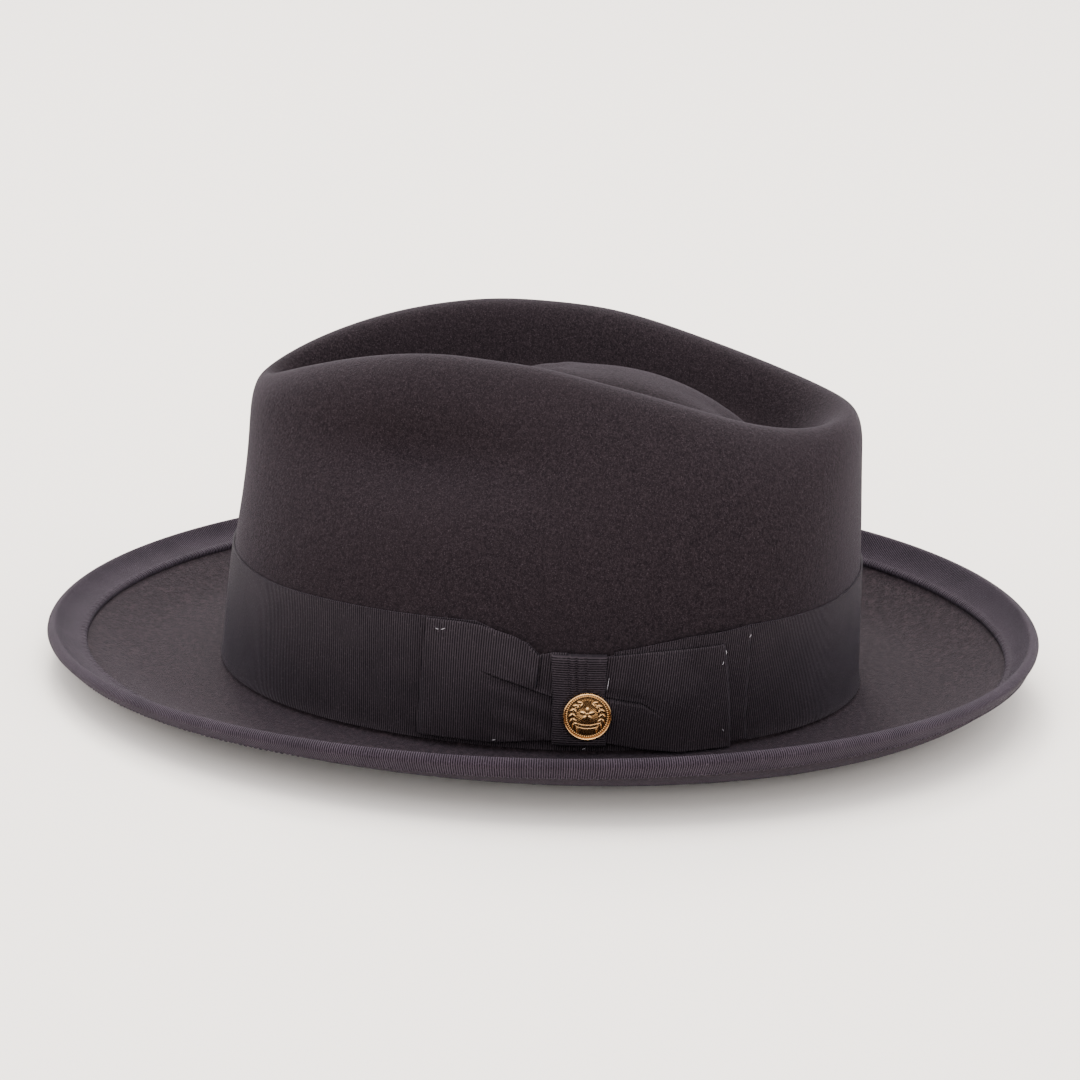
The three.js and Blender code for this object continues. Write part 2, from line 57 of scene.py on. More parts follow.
BINDING_TOP = 10.0       # width of the brim binding on the brim's top
BINDING_UNDER = 4.8      # and on its underside
LEATHER = 1.1
LEATHER_BOTTOM, LEATHER_TOP = 4.2, 46.0
LEATHER_OFF = 1.7        # from the felt's inside to the leather's back
LINING_HEM, LINING_SEAM = 35.0, 66.0
PIPING_HEIGHT = LINING_SEAM + 0.6
TIP_REACH = 0.992        # the tip's half width, as a share of the piping's
SEAM_BOW_HEIGHT = 13.0
BACK = math.pi

# ---------------------------------------------------------------- the felt's surface
# Control rings from the middle of the crown out to the brim's edge: half width, half length,
# shift to the rear, squareness, taper to the front, and height as a polynomial of s, which runs
# from -1 at the hat's front to +1 at its back.
RIDGE_HEIGHT = (115.5, -11.5, -25.7, 11.3, 7)
BUMP_HEIGHT = (102.5, 5, -20.3, -5.3)


def raised(heights, by):
    return (heights[0] + by, *heights[1:])


RINGS = {
    "spine": (0, 53.7, 8.2, 0, 0, BUMP_HEIGHT),
    "bump": (15, 63.7, 6.2, 0.02, 0.1, raised(BUMP_HEIGHT, -1.5)),
    "crease": (24, 73, 2.5, 0.03, 0.24, (86.5, -6, -10, 3)),
    "inner_wall": (31, 81.5, 1.9, 0.02, 0.24, raised(RIDGE_HEIGHT, -12)),
    "ridge": (39.8, 93.4, 1.9, 0.008, 0.24, RIDGE_HEIGHT),
    "shoulder": (52.6, 97.9, 1.9, 0.03, 0.134, (105.5, -10.4, -23.1, 10.2, 6.3)),
    "side": (64, 98, 1.8, 0.03, 0.18, (86, -2, -8, 2)),
    "belly": (76.2, 98.2, 2.2, 0.03, 0.06, (66,)),
    "band_top": (82.2, 100.2, 1.2, 0.03, 0, (42,)),
    "wall": (84, 101.4, 0.4, 0.012, 0, (20,)),
    "base": (84.7, 102, 0, 0.006, 0, (7,)),
    "foot": (84.9, 102.2, 0, 0.005, 0, (2.4,)),
    "break": (86.8, 104, 0, 0.004, 0, (FELT,)),
    "flat_1": (94, 111, 0, 0.003, 0, (FELT,)),
    "flat_2": (102, 119, 0, 0.002, 0, (FELT,)),
    "flat_3": (112, 129, 0, 0.001, 0, (3.4, 0, -1.4)),
    "dish": (122, 139, 0, 0, 0, (6.8, 0, -1.8)),
    "curl": (132, 148.5, 0, 0, 0, (10.6, 1, -1.6)),
    "rim": (138.3, 154, 0, 0, 0, (14.3, 2.7, -2.4)),
    "edge": (141.3, 157, 0, 0, 0, (18.5, 3.9, -2.4)),
}
ORDER = list(RINGS)
LAST = len(ORDER) - 1
PINCH = {"depth": 10, "along": -30, "reach": 30, "height": 86, "spread": 10, "soft": 8}


def ring_point(name, phi):
    width, length, shift, square, taper, heights = RINGS[name]
    s = -np.cos(phi)
    x = width * (np.sin(phi) + square * np.sin(3 * phi)) / (1 - square) * (1 + taper * s)
    y = shift - length * (np.cos(phi) - square * np.cos(3 * phi)) / (1 - square)
    return np.stack([x, y, sum(h * s**i for i, h in enumerate(heights))], -1)


def unevenness(point):
    """The slight waviness of hand-blocked felt, as a distance off the smooth surface."""
    x, y, z = point[..., 0], point[..., 1], point[..., 2]
    around = np.arctan2(x, -y)
    wave = 0.22 * np.sin(3 * around + 0.06 * z + 0.7) + 0.14 * np.sin(7 * around - 0.09 * z)
    wave = wave + 0.1 * np.sin(0.11 * x + 0.4) * np.sin(0.09 * y + 1.1)
    return wave * np.clip((z - 44) / 12, 0, 1)


def bell(x, width):
    """1 at x = 0, falling away on both sides."""
    return np.exp(-((x / width) ** 2))


def smoothstep(x, low, high):
    u = np.clip((np.asarray(x) - low) / (high - low), 0, 1)
    return u * u * (3 - 2 * u)


def felt_smooth(phi, t):
    """A uniform cubic B-spline through the control rings; t counts rings from the crown's middle."""
    phi, t = np.broadcast_arrays(np.asarray(phi, float), np.asarray(t, float))
    rings = [ring_point(name, phi) for name in ORDER]
    rings = np.stack([rings[1] * [-1, 1, 1], *rings, 2 * rings[-1] - rings[-2]])
    first = np.clip(np.floor(t).astype(int), 0, LAST - 1)
    u = (t - first)[..., None]
    weights = [(1 - u) ** 3, 3 * u**3 - 6 * u**2 + 4, -3 * u**3 + 3 * u**2 + 3 * u + 1, u**3]
    spots = tuple(np.indices(t.shape))
    return sum(w / 6 * rings[(first + i, *spots)] for i, w in enumerate(weights))


def felt_face(phi, t):
    """The felt's outer face, with the finger pinches pressed in."""
    point = felt_smooth(phi, t)
    along = (point[..., 1] - PINCH["along"]) / PINCH["reach"]
    up = (point[..., 2] - PINCH["height"]) / PINCH["spread"]
    pressed = PINCH["depth"] * np.exp(-(along**2) - up**2)
    pressed = pressed * smoothstep(t, ORDER.index("ridge"), ORDER.index("side"))
    point[..., 0] -= np.tanh(point[..., 0] / PINCH["soft"]) * pressed
    return point


def arc_lengths(line):
    """The distance walked to each point of a line, or of each line in an array of them."""
    steps = np.linalg.norm(np.diff(line, axis=-2), axis=-1)
    return np.concatenate([np.zeros((*steps.shape[:-1], 1)), np.cumsum(steps, -1)], -1)


def full_round(count):
    return np.linspace(0, 2 * np.pi, count, endpoint=False)[:, None]


def unit(v):
    return v / np.maximum(np.linalg.norm(v, axis=-1, keepdims=True), 1e-12)


def felt_normal(phi, t):
    step = 1e-3
    low, high = np.clip(t - step, 0, LAST), np.clip(t + step, 0, LAST)
    middle = (low + high) / 2
    across = felt_face(phi, high) - felt_face(phi, low)
    around = felt_face(phi + step, middle) - felt_face(phi - step, middle)
    normal = np.cross(across, around)
    normal[..., 0] = np.where(np.asarray(t) == 0, 0, normal[..., 0])
    return unit(normal)


def felt_point(phi, t, off=0.0):
    """A point off the felt: positive is out from its outer face, and below -FELT is inside the hat."""
    phi, t, off = np.broadcast_arrays(np.asarray(phi, float), np.asarray(t, float), off)
    return felt_face(phi, t) + felt_normal(phi, t) * off[..., None]


# Tables of the crown's wall: the ring count at each angle and height of its outer and inner faces,
# and the level direction straight out.
ANGLES = np.linspace(0, 2 * np.pi, 481)
HEIGHTS = np.linspace(2.1, 80, 313)


def row_table(off):
    t = np.linspace(ORDER.index("side") - 1, ORDER.index("break") + 1, 181)
    heights = felt_point(ANGLES[:, None], t[None], off)[..., 2]
    return np.array([np.interp(HEIGHTS, h[::-1], t[::-1]) for h in heights])


OUTER_ROWS = row_table(0.0)
INNER_ROWS = row_table(-FELT)
WALL_OUT = unit(felt_normal(ANGLES, ORDER.index("wall")) * [1, 1, 0])


def wall_row(phi, z, table):
    """The ring count at which a face of the crown's wall is at height z."""
    i = np.mod(phi, 2 * np.pi) / ANGLES[1]
    j = np.clip((z - HEIGHTS[0]) / (HEIGHTS[1] - HEIGHTS[0]), 0, len(HEIGHTS) - 1.001)
    i0, j0 = np.minimum(i.astype(int), len(ANGLES) - 2), j.astype(int)
    a, b = i - i0, j - j0
    low = table[i0, j0] * (1 - a) + table[i0 + 1, j0] * a
    high = table[i0, j0 + 1] * (1 - a) + table[i0 + 1, j0 + 1] * a
    return low * (1 - b) + high * b


def wall_out(phi):
    phi = np.mod(phi, 2 * np.pi)
    return unit(np.stack([np.interp(phi, ANGLES, WALL_OUT[:, i]) for i in range(3)], -1))


def outside(phi, z, off):
    """A point off the crown's outer face, level with height z on it."""
    phi, z, off = np.broadcast_arrays(np.asarray(phi, float), z, off)
    return felt_face(phi, wall_row(phi, z, OUTER_ROWS)) + wall_out(phi) * off[..., None]


def inside(phi, z, off):
    """A point in from the crown's inner face, level with height z on it."""
    phi, z, off = np.broadcast_arrays(np.asarray(phi, float), z, off)
    return felt_point(phi, wall_row(phi, z, INNER_ROWS), -FELT) - wall_out(phi) * off[..., None]


def row_from_edge(phi, distance):
    """The ring count at the given distance in from the brim's edge, along the cloth."""
    t = np.linspace(LAST, LAST - 3, 121)
    rows = [np.interp(distance, walked, t) for walked in arc_lengths(felt_smooth(ANGLES[:, None], t))]
    return np.interp(np.mod(phi, 2 * np.pi), ANGLES, rows)


# ---------------------------------------------------------------- mesh building


def make_object(name, points, faces, material, cloth=None, crease=35):
    """A smooth-shaded object from points in millimetres. cloth holds each point's place in the
    weave, along and across the ribbon."""
    mesh = bpy.data.meshes.new(name)
    mesh.from_pydata((np.asarray(points) * MM).tolist(), [], faces)
    if cloth is not None:
        layer = mesh.attributes.new("cloth", "FLOAT_VECTOR", "POINT")
        flat = np.zeros((len(points), 3))
        flat[:, : cloth.shape[1]] = cloth
        layer.data.foreach_set("vector", flat.ravel())
    shape = bmesh.new()
    shape.from_mesh(mesh)
    bmesh.ops.remove_doubles(shape, verts=shape.verts, dist=1e-7)
    bmesh.ops.dissolve_degenerate(shape, edges=shape.edges, dist=1e-8)
    if shape.calc_volume(signed=True) < 0:
        bmesh.ops.reverse_faces(shape, faces=shape.faces)
    shape.to_mesh(mesh)
    shape.free()
    mesh.polygons.foreach_set("use_smooth", [True] * len(mesh.polygons))
    mesh.set_sharp_from_angle(angle=math.radians(crease))
    mesh.materials.append(material)
    piece = bpy.data.objects.new(name, mesh)
    bpy.context.collection.objects.link(piece)
    return piece


def quads(index, ring):
    """The faces of a grid of point numbers."""
    nxt = np.roll(index, -1, 0) if ring else index[1:]
    now = index if ring else index[:-1]
    return np.stack([now[:, :-1], now[:, 1:], nxt[:, 1:], nxt[:, :-1]], -1).reshape(-1, 4)


def shell(name, outer, inner, material, ring=False, disc=False, cloth=None, crease=35):
    """A closed sheet between two matching grids of points. A ring closes on itself, and a disc
    has its middle at its first row, where it needs no edge."""
    n, m = outer.shape[:2]
    top = np.arange(n * m).reshape(n, m)
    under = top + n * m
    faces = [quads(top, ring), quads(under, ring)[:, ::-1]]
    faces.append(quads(np.stack([top[:, -1], under[:, -1]], 1), ring))
    if not disc:
        faces.append(quads(np.stack([under[:, 0], top[:, 0]], 1), ring))
    if not ring:
        faces.append(quads(np.stack([top[0], under[0]], 1), False)[:, ::-1])
        faces.append(quads(np.stack([top[-1], under[-1]], 1), False))
    points = np.concatenate([outer.reshape(-1, 3), inner.reshape(-1, 3)])
    if cloth is not None:
        cloth = np.concatenate([cloth.reshape(-1, cloth.shape[-1])] * 2)
    return make_object(name, points, np.concatenate(faces).tolist(), material, cloth, crease)


def grid_normals(grid):
    """Unit normals of a grid of points."""
    return unit(np.cross(np.gradient(grid, axis=0), np.gradient(grid, axis=1)))


def rings_along(path, ahead, sides, radius):
    """Rings of points around a path, which runs ahead at each of its points. radius is one
    number for each point of the path, or for each point of each ring."""
    side = unit(np.cross(ahead, [0, 0, 1.0]) + 1e-9)
    up = np.cross(side, ahead)
    turn = np.linspace(0, 2 * np.pi, sides, endpoint=False)[None, :, None]
    return path[:, None] + radius[..., None] * (np.cos(turn) * side[:, None] + np.sin(turn) * up[:, None])


def tube_faces(count, sides, closed):
    index = np.arange(count * sides).reshape(count, sides)
    index = np.concatenate([index, index[:, :1]], 1)
    faces = quads(index, closed).tolist()
    if not closed:
        faces += [list(range(sides)), list(range((count - 1) * sides, count * sides))[::-1]]
    return faces


def stitches(name, starts, ends, lift, radius, material):
    """Short threads, each a bent tube from one point to another that rises by lift on the way."""
    sides, steps = 6, 7
    u = np.linspace(0, 1, steps)
    points, faces = [], []
    for a, b, up in zip(starts, ends, lift):
        line = a + (b - a) * u[:, None] + up * np.sin(np.pi * u)[:, None]
        width = radius * (0.55 + 0.45 * np.sin(np.pi * u))
        base = len(points) * steps * sides
        ahead = unit(np.gradient(line, axis=0))
        points.append(rings_along(line, ahead, sides, width[:, None]).reshape(-1, 3))
        faces += [[base + i for i in face] for face in tube_faces(steps, sides, False)]
    return make_object(name, np.concatenate(points), faces, material)


def back_radius(height, off):
    """How far the inside of the hat's back lies from its middle."""
    return float(inside(np.array([BACK]), height, off)[0, 1])


def stitch_angles(line, pitch, half):
    """The angles at which the stitches along a line round the hat start, and those at which they
    end. line gives its points, and half is half a stitch."""
    phi = np.linspace(BACK, BACK + 2 * np.pi, 4000)
    walked = arc_lengths(line(phi))
    at = (np.arange(int(walked[-1] / pitch)) + 0.5) * pitch
    return [np.interp(at + shift, walked, phi) for shift in (-half, half)]


# ---------------------------------------------------------------- materials


class Recipe:
    """A node material with one Principled shader."""

    def __init__(self, name, **constants):
        self.material = bpy.data.materials.new(name)
        self.material.use_nodes = True
        self.nodes = self.material.node_tree.nodes
        self.links = self.material.node_tree.links
        self.shader = self.nodes["Principled BSDF"]
        for socket, value in constants.items():
            self.set(self.shader, socket.replace("_", " "), value)

    def set(self, node, socket, value):
        target = node.inputs[socket]
        if isinstance(value, bpy.types.NodeSocket):
            self.links.new(value, target)
        elif hasattr(target.default_value, "__len__") and hasattr(value, "__len__"):
            target.default_value = (*value, 1.0)[: len(target.default_value)]
        else:
            target.default_value = value

    def add(self, kind, sockets=None, **settings):
        node = self.nodes.new("ShaderNode" + kind)
        for key, value in settings.items():
            setattr(node, key, value)
        for socket, value in (sockets or {}).items():
            self.set(node, socket, value)
        return node

    def math(self, operation, a, b=0.0, c=0.0):
        return self.add("Math", {0: a, 1: b, 2: c}, operation=operation).outputs[0]

    def sine(self, value, pitch):
        """A wave from 0 to 1 with the given pitch in millimetres."""
        return self.ramp(self.wave(value, pitch), -1, 1)

    def wave(self, value, pitch):
        return self.math("SINE", self.math("MULTIPLY", value, 2 * math.pi / (pitch * MM)))

    def cloth(self):
        """The place in the weave, and that place along and across the cloth."""
        weave = self.add("Attribute", attribute_name="cloth").outputs["Vector"]
        return weave, self.add("SeparateXYZ", {0: weave}).outputs

    def place(self):
        return self.add("TexCoord").outputs["Object"]

    def noise(self, place, scale, detail=3.0, roughness=0.55, stretch=None):
        if stretch is not None:
            place = self.add("Mapping", {"Vector": place, "Scale": stretch}).outputs[0]
        sockets = {"Vector": place, "Scale": scale, "Detail": detail, "Roughness": roughness}
        return self.add("TexNoise", sockets).outputs["Fac"]

    def ramp(self, value, low, high, bottom=0.0, top=1.0):
        sockets = {"Value": value, "From Min": low, "From Max": high, "To Min": bottom, "To Max": top}
        return self.add("MapRange", sockets).outputs[0]

    def mix(self, factor, a, b):
        node = self.add("Mix", data_type="RGBA")
        self.set(node, "Factor", factor)
        for number, value in ((6, a), (7, b)):
            if isinstance(value, bpy.types.NodeSocket):
                self.links.new(value, node.inputs[number])
            else:
                node.inputs[number].default_value = (*value, 1.0)[:4]
        return node.outputs[2]

    def bump(self, height, distance, strength=1.0):
        sockets = {"Height": height, "Distance": distance * MM, "Strength": strength}
        return self.add("Bump", sockets).outputs[0]

    def finish(self, colour, roughness=None, normal=None):
        self.set(self.shader, "Base Color", colour)
        if roughness is not None:
            self.set(self.shader, "Roughness", roughness)
        if normal is not None:
            self.set(self.shader, "Normal", normal)
        return self.material


def linear(red, green, blue):
    """A screen colour, 0 to 255, as the linear colour that a shader takes."""
    def one(c):
        c /= 255
        return c / 12.92 if c <= 0.04045 else ((c + 0.055) / 1.055) ** 2.4
    return one(red), one(green), one(blue)


def felt_material():
    """Fur felt: a short matted nap with light fibre ends, soft clouding and a bloom at grazing angles."""
    r = Recipe("fur_felt", Roughness=0.95, Specular_IOR_Level=0.12,
               Sheen_Weight=0.07, Sheen_Roughness=0.4, Sheen_Tint=linear(212, 198, 220),
               Specular_Tint=linear(216, 206, 226))
    place = r.place()
    fibres = r.noise(place, 3400, 2, 0.6)
    hairs = r.noise(place, 1500, 5, 0.75, stretch=(1, 1, 0.55))
    clumps = r.noise(place, 620, 4, 0.62)
    tufts = r.noise(place, 1150, 3, 0.6)
    matting = r.noise(place, 500, 4, 0.7)
    on_brim = r.ramp(r.add("SeparateXYZ", {0: place}).outputs[2], 0.03, 0.038, 1, 0)
    cloud = r.noise(place, 24, 3, 0.5)
    base = r.mix(r.ramp(hairs, 0.36, 0.64), linear(6, 4, 5), linear(33, 27, 29))
    base = r.mix(r.ramp(clumps, 0.44, 0.62, 0, 0.4), base, linear(12, 9, 10))
    base = r.mix(r.ramp(tufts, 0.5, 0.64, 0, 0.34), base, linear(48, 40, 43))
    base = r.mix(r.math("MULTIPLY", on_brim, r.ramp(matting, 0.52, 0.62, 0, 0.42)), base, linear(52, 42, 45))
    base = r.mix(r.math("MULTIPLY", on_brim, r.ramp(matting, 0.48, 0.38, 0, 0.5)), base, linear(10, 7, 8))
    base = r.mix(r.ramp(cloud, 0.35, 0.7, 0, 0.3), base, linear(28, 22, 24))
    base = r.mix(r.ramp(fibres, 0.56, 0.74, 0, 0.7), base, linear(66, 57, 61))
    height = r.math("MULTIPLY_ADD", hairs, 0.7, r.math("MULTIPLY", fibres, 0.35))
    height = r.math("MULTIPLY_ADD", clumps, 0.6, height)
    return r.finish(base, r.ramp(hairs, 0.2, 0.8, 0.86, 1.0), r.bump(height, 0.34, 1.0))


def grosgrain_material(name, dark, light, thread, gloss=0.5, depth=0.07):
    """Ribbed ribbon: ribs across its length, covered by fine lengthwise threads. The rib valleys are painted
    near black as painted shade; the crests show the ribbon's own colour.
    """
    r = Recipe(name, Roughness=gloss, Specular_IOR_Level=0.14,
               Sheen_Weight=0.05, Sheen_Roughness=0.35, Sheen_Tint=linear(210, 202, 226),
               Specular_Tint=linear(214, 206, 228))
    weave, split = r.cloth()
    wobble = r.noise(weave, 900, 2, 0.5)
    along = r.math("MULTIPLY_ADD", wobble, 0.12 * RIB_PITCH * MM, split[0])
    rib = r.sine(along, RIB_PITCH)
    warp = r.sine(split[1], 0.27)
    grain = r.noise(weave, 1500, 3, 0.6)
    wear = r.noise(r.place(), 90, 3, 0.55)
    # painted shade: the colour falls to dark in the valleys between the ribs, where the bump is lowest; dark
    # also tints the random wear patches below
    colour = r.mix(r.ramp(rib, 0.1, 0.85), dark, light)
    colour = r.mix(r.ramp(grain, 0.55, 0.8, 0, 0.55), colour, thread)
    colour = r.mix(r.ramp(wear, 0.4, 0.75, 0, 0.3), colour, dark)
    height = r.math("MULTIPLY_ADD", warp, 0.14, rib)
    height = r.math("MULTIPLY_ADD", grain, 0.2, height)
    return r.finish(colour, r.ramp(rib, 0, 1, gloss + 0.16, gloss - 0.04), r.bump(height, depth, 1.0))


def brass_material(name, bright, dark, gloss):
    """Struck brass: polished high spots, with darker lacquer left in the low ones."""
    r = Recipe(name, Metallic=1.0, Roughness=gloss)
    relief = r.cloth()[1][2]
    scuff = r.noise(r.place(), 1400, 4, 0.65)
    tarnish = r.noise(r.place(), 260, 3, 0.6)
    colour = r.mix(r.ramp(relief, 0.0, 1.0), dark, bright)
    colour = r.mix(r.ramp(tarnish, 0.45, 0.75, 0, 0.4), colour, dark)
    return r.finish(colour, r.ramp(scuff, 0.3, 0.8, gloss - 0.06, gloss + 0.16), r.bump(scuff, 0.012, 0.6))


def leather_material(name, dark, light):
    """Smooth sweatband leather: fine pebbled grain with soft creases."""
    r = Recipe(name, Roughness=0.45, Specular_IOR_Level=0.45, Coat_Weight=0.12, Coat_Roughness=0.35)
    place = r.place()
    cells = r.add("TexVoronoi", {"Vector": place, "Scale": 900.0}, feature="DISTANCE_TO_EDGE").outputs[0]
    grain = r.ramp(cells, 0.0, 0.3)
    blotch = r.noise(place, 60, 4, 0.6)
    pores = r.noise(place, 1800, 2, 0.5)
    colour = r.mix(r.ramp(blotch, 0.3, 0.7), dark, light)
    colour = r.mix(r.ramp(grain, 0, 0.5, 0.5, 0), colour, dark)
    height = r.math("MULTIPLY_ADD", pores, 0.3, grain)
    return r.finish(colour, r.ramp(blotch, 0.2, 0.8, 0.38, 0.55), r.bump(height, 0.05, 0.8))


def satin_material(name, dark, light, gloss=0.3):
    """Satin: long floats that shine one way, with fine cross threads."""
    r = Recipe(name, Roughness=gloss, Specular_IOR_Level=0.5,
               Sheen_Weight=0.25, Sheen_Roughness=0.3, Sheen_Tint=(1.0, 0.97, 1.0))
    weave, split = r.cloth()
    float_line = r.noise(weave, 1, 3, 0.6, stretch=(3500, 260, 1))
    cross = r.sine(split[1], 0.3)
    cloud = r.noise(r.place(), 40, 3, 0.5)
    colour = r.mix(r.ramp(float_line, 0.3, 0.7), dark, light)
    colour = r.mix(r.ramp(cloud, 0.3, 0.75, 0, 0.35), colour, dark)
    height = r.math("MULTIPLY_ADD", cross, 0.25, float_line)
    return r.finish(colour, r.ramp(cloud, 0.2, 0.8, gloss - 0.05, gloss + 0.12), r.bump(height, 0.03, 0.7))


def woven_material(name, dark, light, pitch=0.5):
    """A plain-woven tape or tab."""
    r = Recipe(name, Roughness=0.85, Specular_IOR_Level=0.2, Sheen_Weight=0.2, Sheen_Roughness=0.5)
    split = r.cloth()[1]
    check = r.ramp(r.math("MULTIPLY", r.wave(split[0], pitch), r.wave(split[1], pitch)), -1, 1)
    fuzz = r.noise(r.place(), 1600, 3, 0.6)
    colour = r.mix(r.ramp(check, 0.2, 0.8), dark, light)
    colour = r.mix(r.ramp(fuzz, 0.5, 0.8, 0, 0.4), colour, light)
    return r.finish(colour, r.ramp(fuzz, 0.2, 0.8, 0.78, 0.95), r.bump(check, 0.06, 0.8))


def thread_material(name, dark, light):
    r = Recipe(name, Roughness=0.6, Specular_IOR_Level=0.3, Sheen_Weight=0.2, Sheen_Roughness=0.4)
    ply = r.noise(r.place(), 3000, 2, 0.5)
    return r.finish(r.mix(r.ramp(ply, 0.3, 0.7), dark, light), None, r.bump(ply, 0.03, 0.6))


def vinyl_material():
    """The clear sheet over the lining's tip, slightly hazed and rippled."""
    r = Recipe("clear_vinyl", Roughness=0.12, IOR=1.45, Alpha=0.05,
               Specular_IOR_Level=0.3)
    ripple = r.noise(r.place(), 70, 3, 0.5)
    haze = r.noise(r.place(), 500, 3, 0.6)
    colour = r.mix(r.ramp(haze, 0.3, 0.7), linear(222, 228, 232), linear(240, 244, 246))
    return r.finish(colour, r.ramp(haze, 0.2, 0.8, 0.08, 0.22), r.bump(ripple, 0.15, 0.4))


FUR_FELT = felt_material()
# The first colour of each grosgrain is painted shade for its rib valleys, and also darkens its wear patches;
# the second is the ribbon's own colour on the crests.
BAND_CLOTH = grosgrain_material(
    "band_grosgrain", linear(7, 5, 6), linear(47, 41, 44), linear(78, 70, 74), 0.7, 0.16)
BINDING_CLOTH = grosgrain_material(
    "binding_grosgrain", linear(4, 3, 4), linear(59, 50, 58), linear(90, 80, 90), 0.76, 0.26)
BADGE_BRASS = brass_material("badge_brass", (0.78, 0.47, 0.21), (0.19, 0.09, 0.03), 0.22)
CLUTCH_BRASS = brass_material("clutch_brass", (0.8, 0.62, 0.33), (0.42, 0.3, 0.14), 0.32)
LEATHER_SKIN = leather_material("sweatband_leather", linear(44, 28, 22), linear(72, 47, 36))
REED_SKIN = leather_material("reed_vinyl", linear(34, 26, 23), linear(50, 38, 33))
TAPE_CLOTH = woven_material("cotton_tape", linear(58, 50, 46), linear(96, 86, 79))
TAB_CLOTH = woven_material("size_tab_cloth", linear(206, 200, 188), linear(236, 231, 220), 0.35)
SATIN = satin_material("lining_satin", linear(92, 84, 92), linear(142, 133, 142))
BOW_SATIN = satin_material("satin_ribbon", linear(30, 24, 25), linear(58, 48, 50), 0.34)
PIPING_SATIN = satin_material("lining_piping", linear(38, 31, 36), linear(80, 70, 77), 0.4)
DARK_THREAD = thread_material("binding_thread", linear(20, 17, 20), linear(46, 40, 46))
PALE_TAN_THREAD = thread_material("leather_thread", linear(112, 92, 74), linear(164, 140, 116))
PALE_THREAD = thread_material("tack_thread", linear(118, 113, 118), linear(168, 164, 168))
VINYL = vinyl_material()

# ---------------------------------------------------------------- felt and brim


def felt_body():
    phi = full_round(300)
    t = np.linspace(0, LAST, 8 * LAST + 1)[None]
    normal = felt_normal(phi, t)
    face = felt_face(phi, t)
    face = face + normal * unevenness(face)[..., None]
    piece = shell("felt", face, face - normal * FELT, FUR_FELT, ring=True, disc=True, crease=60)
    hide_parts("felt_body")
    return piece


BINDING_STITCH = 1.9     # from one stitch of the binding to the next


def binding_section(phi, edge_line):
    """The folded ribbon's outer face at the given angles: from the welt at its inner edge on the
    brim's top, over the brim's edge, to its scalloped hem below."""
    top_row = row_from_edge(phi, BINDING_TOP)
    under_row = row_from_edge(phi, BINDING_UNDER)
    puckers = np.abs(np.sin(np.pi * edge_line / BINDING_STITCH))
    away = unit(felt_face(phi, LAST) - felt_face(phi, LAST - 0.05))
    up = felt_normal(phi, LAST)
    welt = ((1.15, 0.1), (1.2, 0.45), (0.95, 0.85), (0.45, 1.02), (-0.1, 0.98), (-0.7, 0.8), (-1.4, 0.62))
    points = []
    for back, lift in welt:
        bead = 0.24 * puckers if lift > 0.8 else 0
        points.append(felt_point(phi, top_row - back / 6.5, lift + bead))
    for u in np.linspace(0.34, 1, 5):
        points.append(felt_point(phi, top_row + (LAST - top_row) * u, 0.6 - 0.08 * u))
    for turn in np.linspace(0.14, 0.86, 7) * np.pi:
        half = FELT / 2 + 0.55
        middle = felt_point(phi, LAST, -FELT / 2)
        points.append(middle + up * half * np.cos(turn) + away * (0.1 + 0.75 * np.sin(turn)))
    for u in np.linspace(0, 0.8, 4):
        points.append(felt_point(phi, LAST + (under_row - LAST) * u, -FELT - 0.55))
    hem = under_row + 0.07 * puckers
    points.append(felt_point(phi, hem + 0.1, -FELT - 0.9 + 0.25 * puckers))
    points.append(felt_point(phi, hem, -FELT - 0.8 + 0.25 * puckers))
    points.append(felt_point(phi, hem, -FELT - 0.12))
    return np.stack(points, 1)


def brim_binding():
    seam = 0.0008
    phi = np.linspace(BACK + seam, BACK + 2 * np.pi - seam, 1900)
    edge_line = arc_lengths(felt_face(phi, LAST))
    outer = binding_section(phi, edge_line)
    inner = outer - grid_normals(outer) * 0.3
    across = arc_lengths(outer)
    cloth = np.stack([np.broadcast_to(edge_line[:, None], across.shape), across], -1) * MM
    piece = shell("brim_binding_ribbon", outer, inner, BINDING_CLOTH, cloth=cloth, crease=70)
    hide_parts("brim_binding")
    return piece


def binding_stitches():
    """The running stitch along the binding's hem, under the brim."""
    ends = []
    for phi in stitch_angles(lambda phi: felt_face(phi, LAST), BINDING_STITCH, 0.6):
        ends.append(felt_point(phi, row_from_edge(phi, BINDING_UNDER - 0.9), -FELT - 0.55))
    down = -felt_normal(phi, LAST) * 0.28
    return stitches("binding_stitching", *ends, down, 0.16, DARK_THREAD)


# ---------------------------------------------------------------- band and bow
BADGE_ALONG = 26.5       # the badge's place along the hat
WALL_PHI = np.linspace(0, np.pi, 721)
WALL_LINE = outside(WALL_PHI, 20.0, 1.0)
WALL_ARC = arc_lengths(WALL_LINE)
ARC_ZERO = np.interp(BADGE_ALONG, WALL_LINE[:, 1], WALL_ARC)


def wall_angle(s):
    """The angle at a distance s to the rear of the badge, along the band."""
    return np.interp(np.asarray(s) + ARC_ZERO, WALL_ARC, WALL_PHI)


def band_top(phi):
    """The band's top edge, which dips where the knot draws it in."""
    far = -200           # on the hat's other side, away from the bow
    place = np.interp(np.mod(phi, 2 * np.pi), WALL_PHI, WALL_ARC - ARC_ZERO, right=far)
    drawn = np.interp(place, [-36, -29, -20, -16, -12, 4, 28, 40, 49],
                      [0, -2.6, -5.4, -9, -9.5, -8.5, -3.1, -1.4, 0])
    return BAND_TOP + drawn + 0.1 * np.sin(5 * phi) + 0.06 * np.sin(13 * phi + 1)


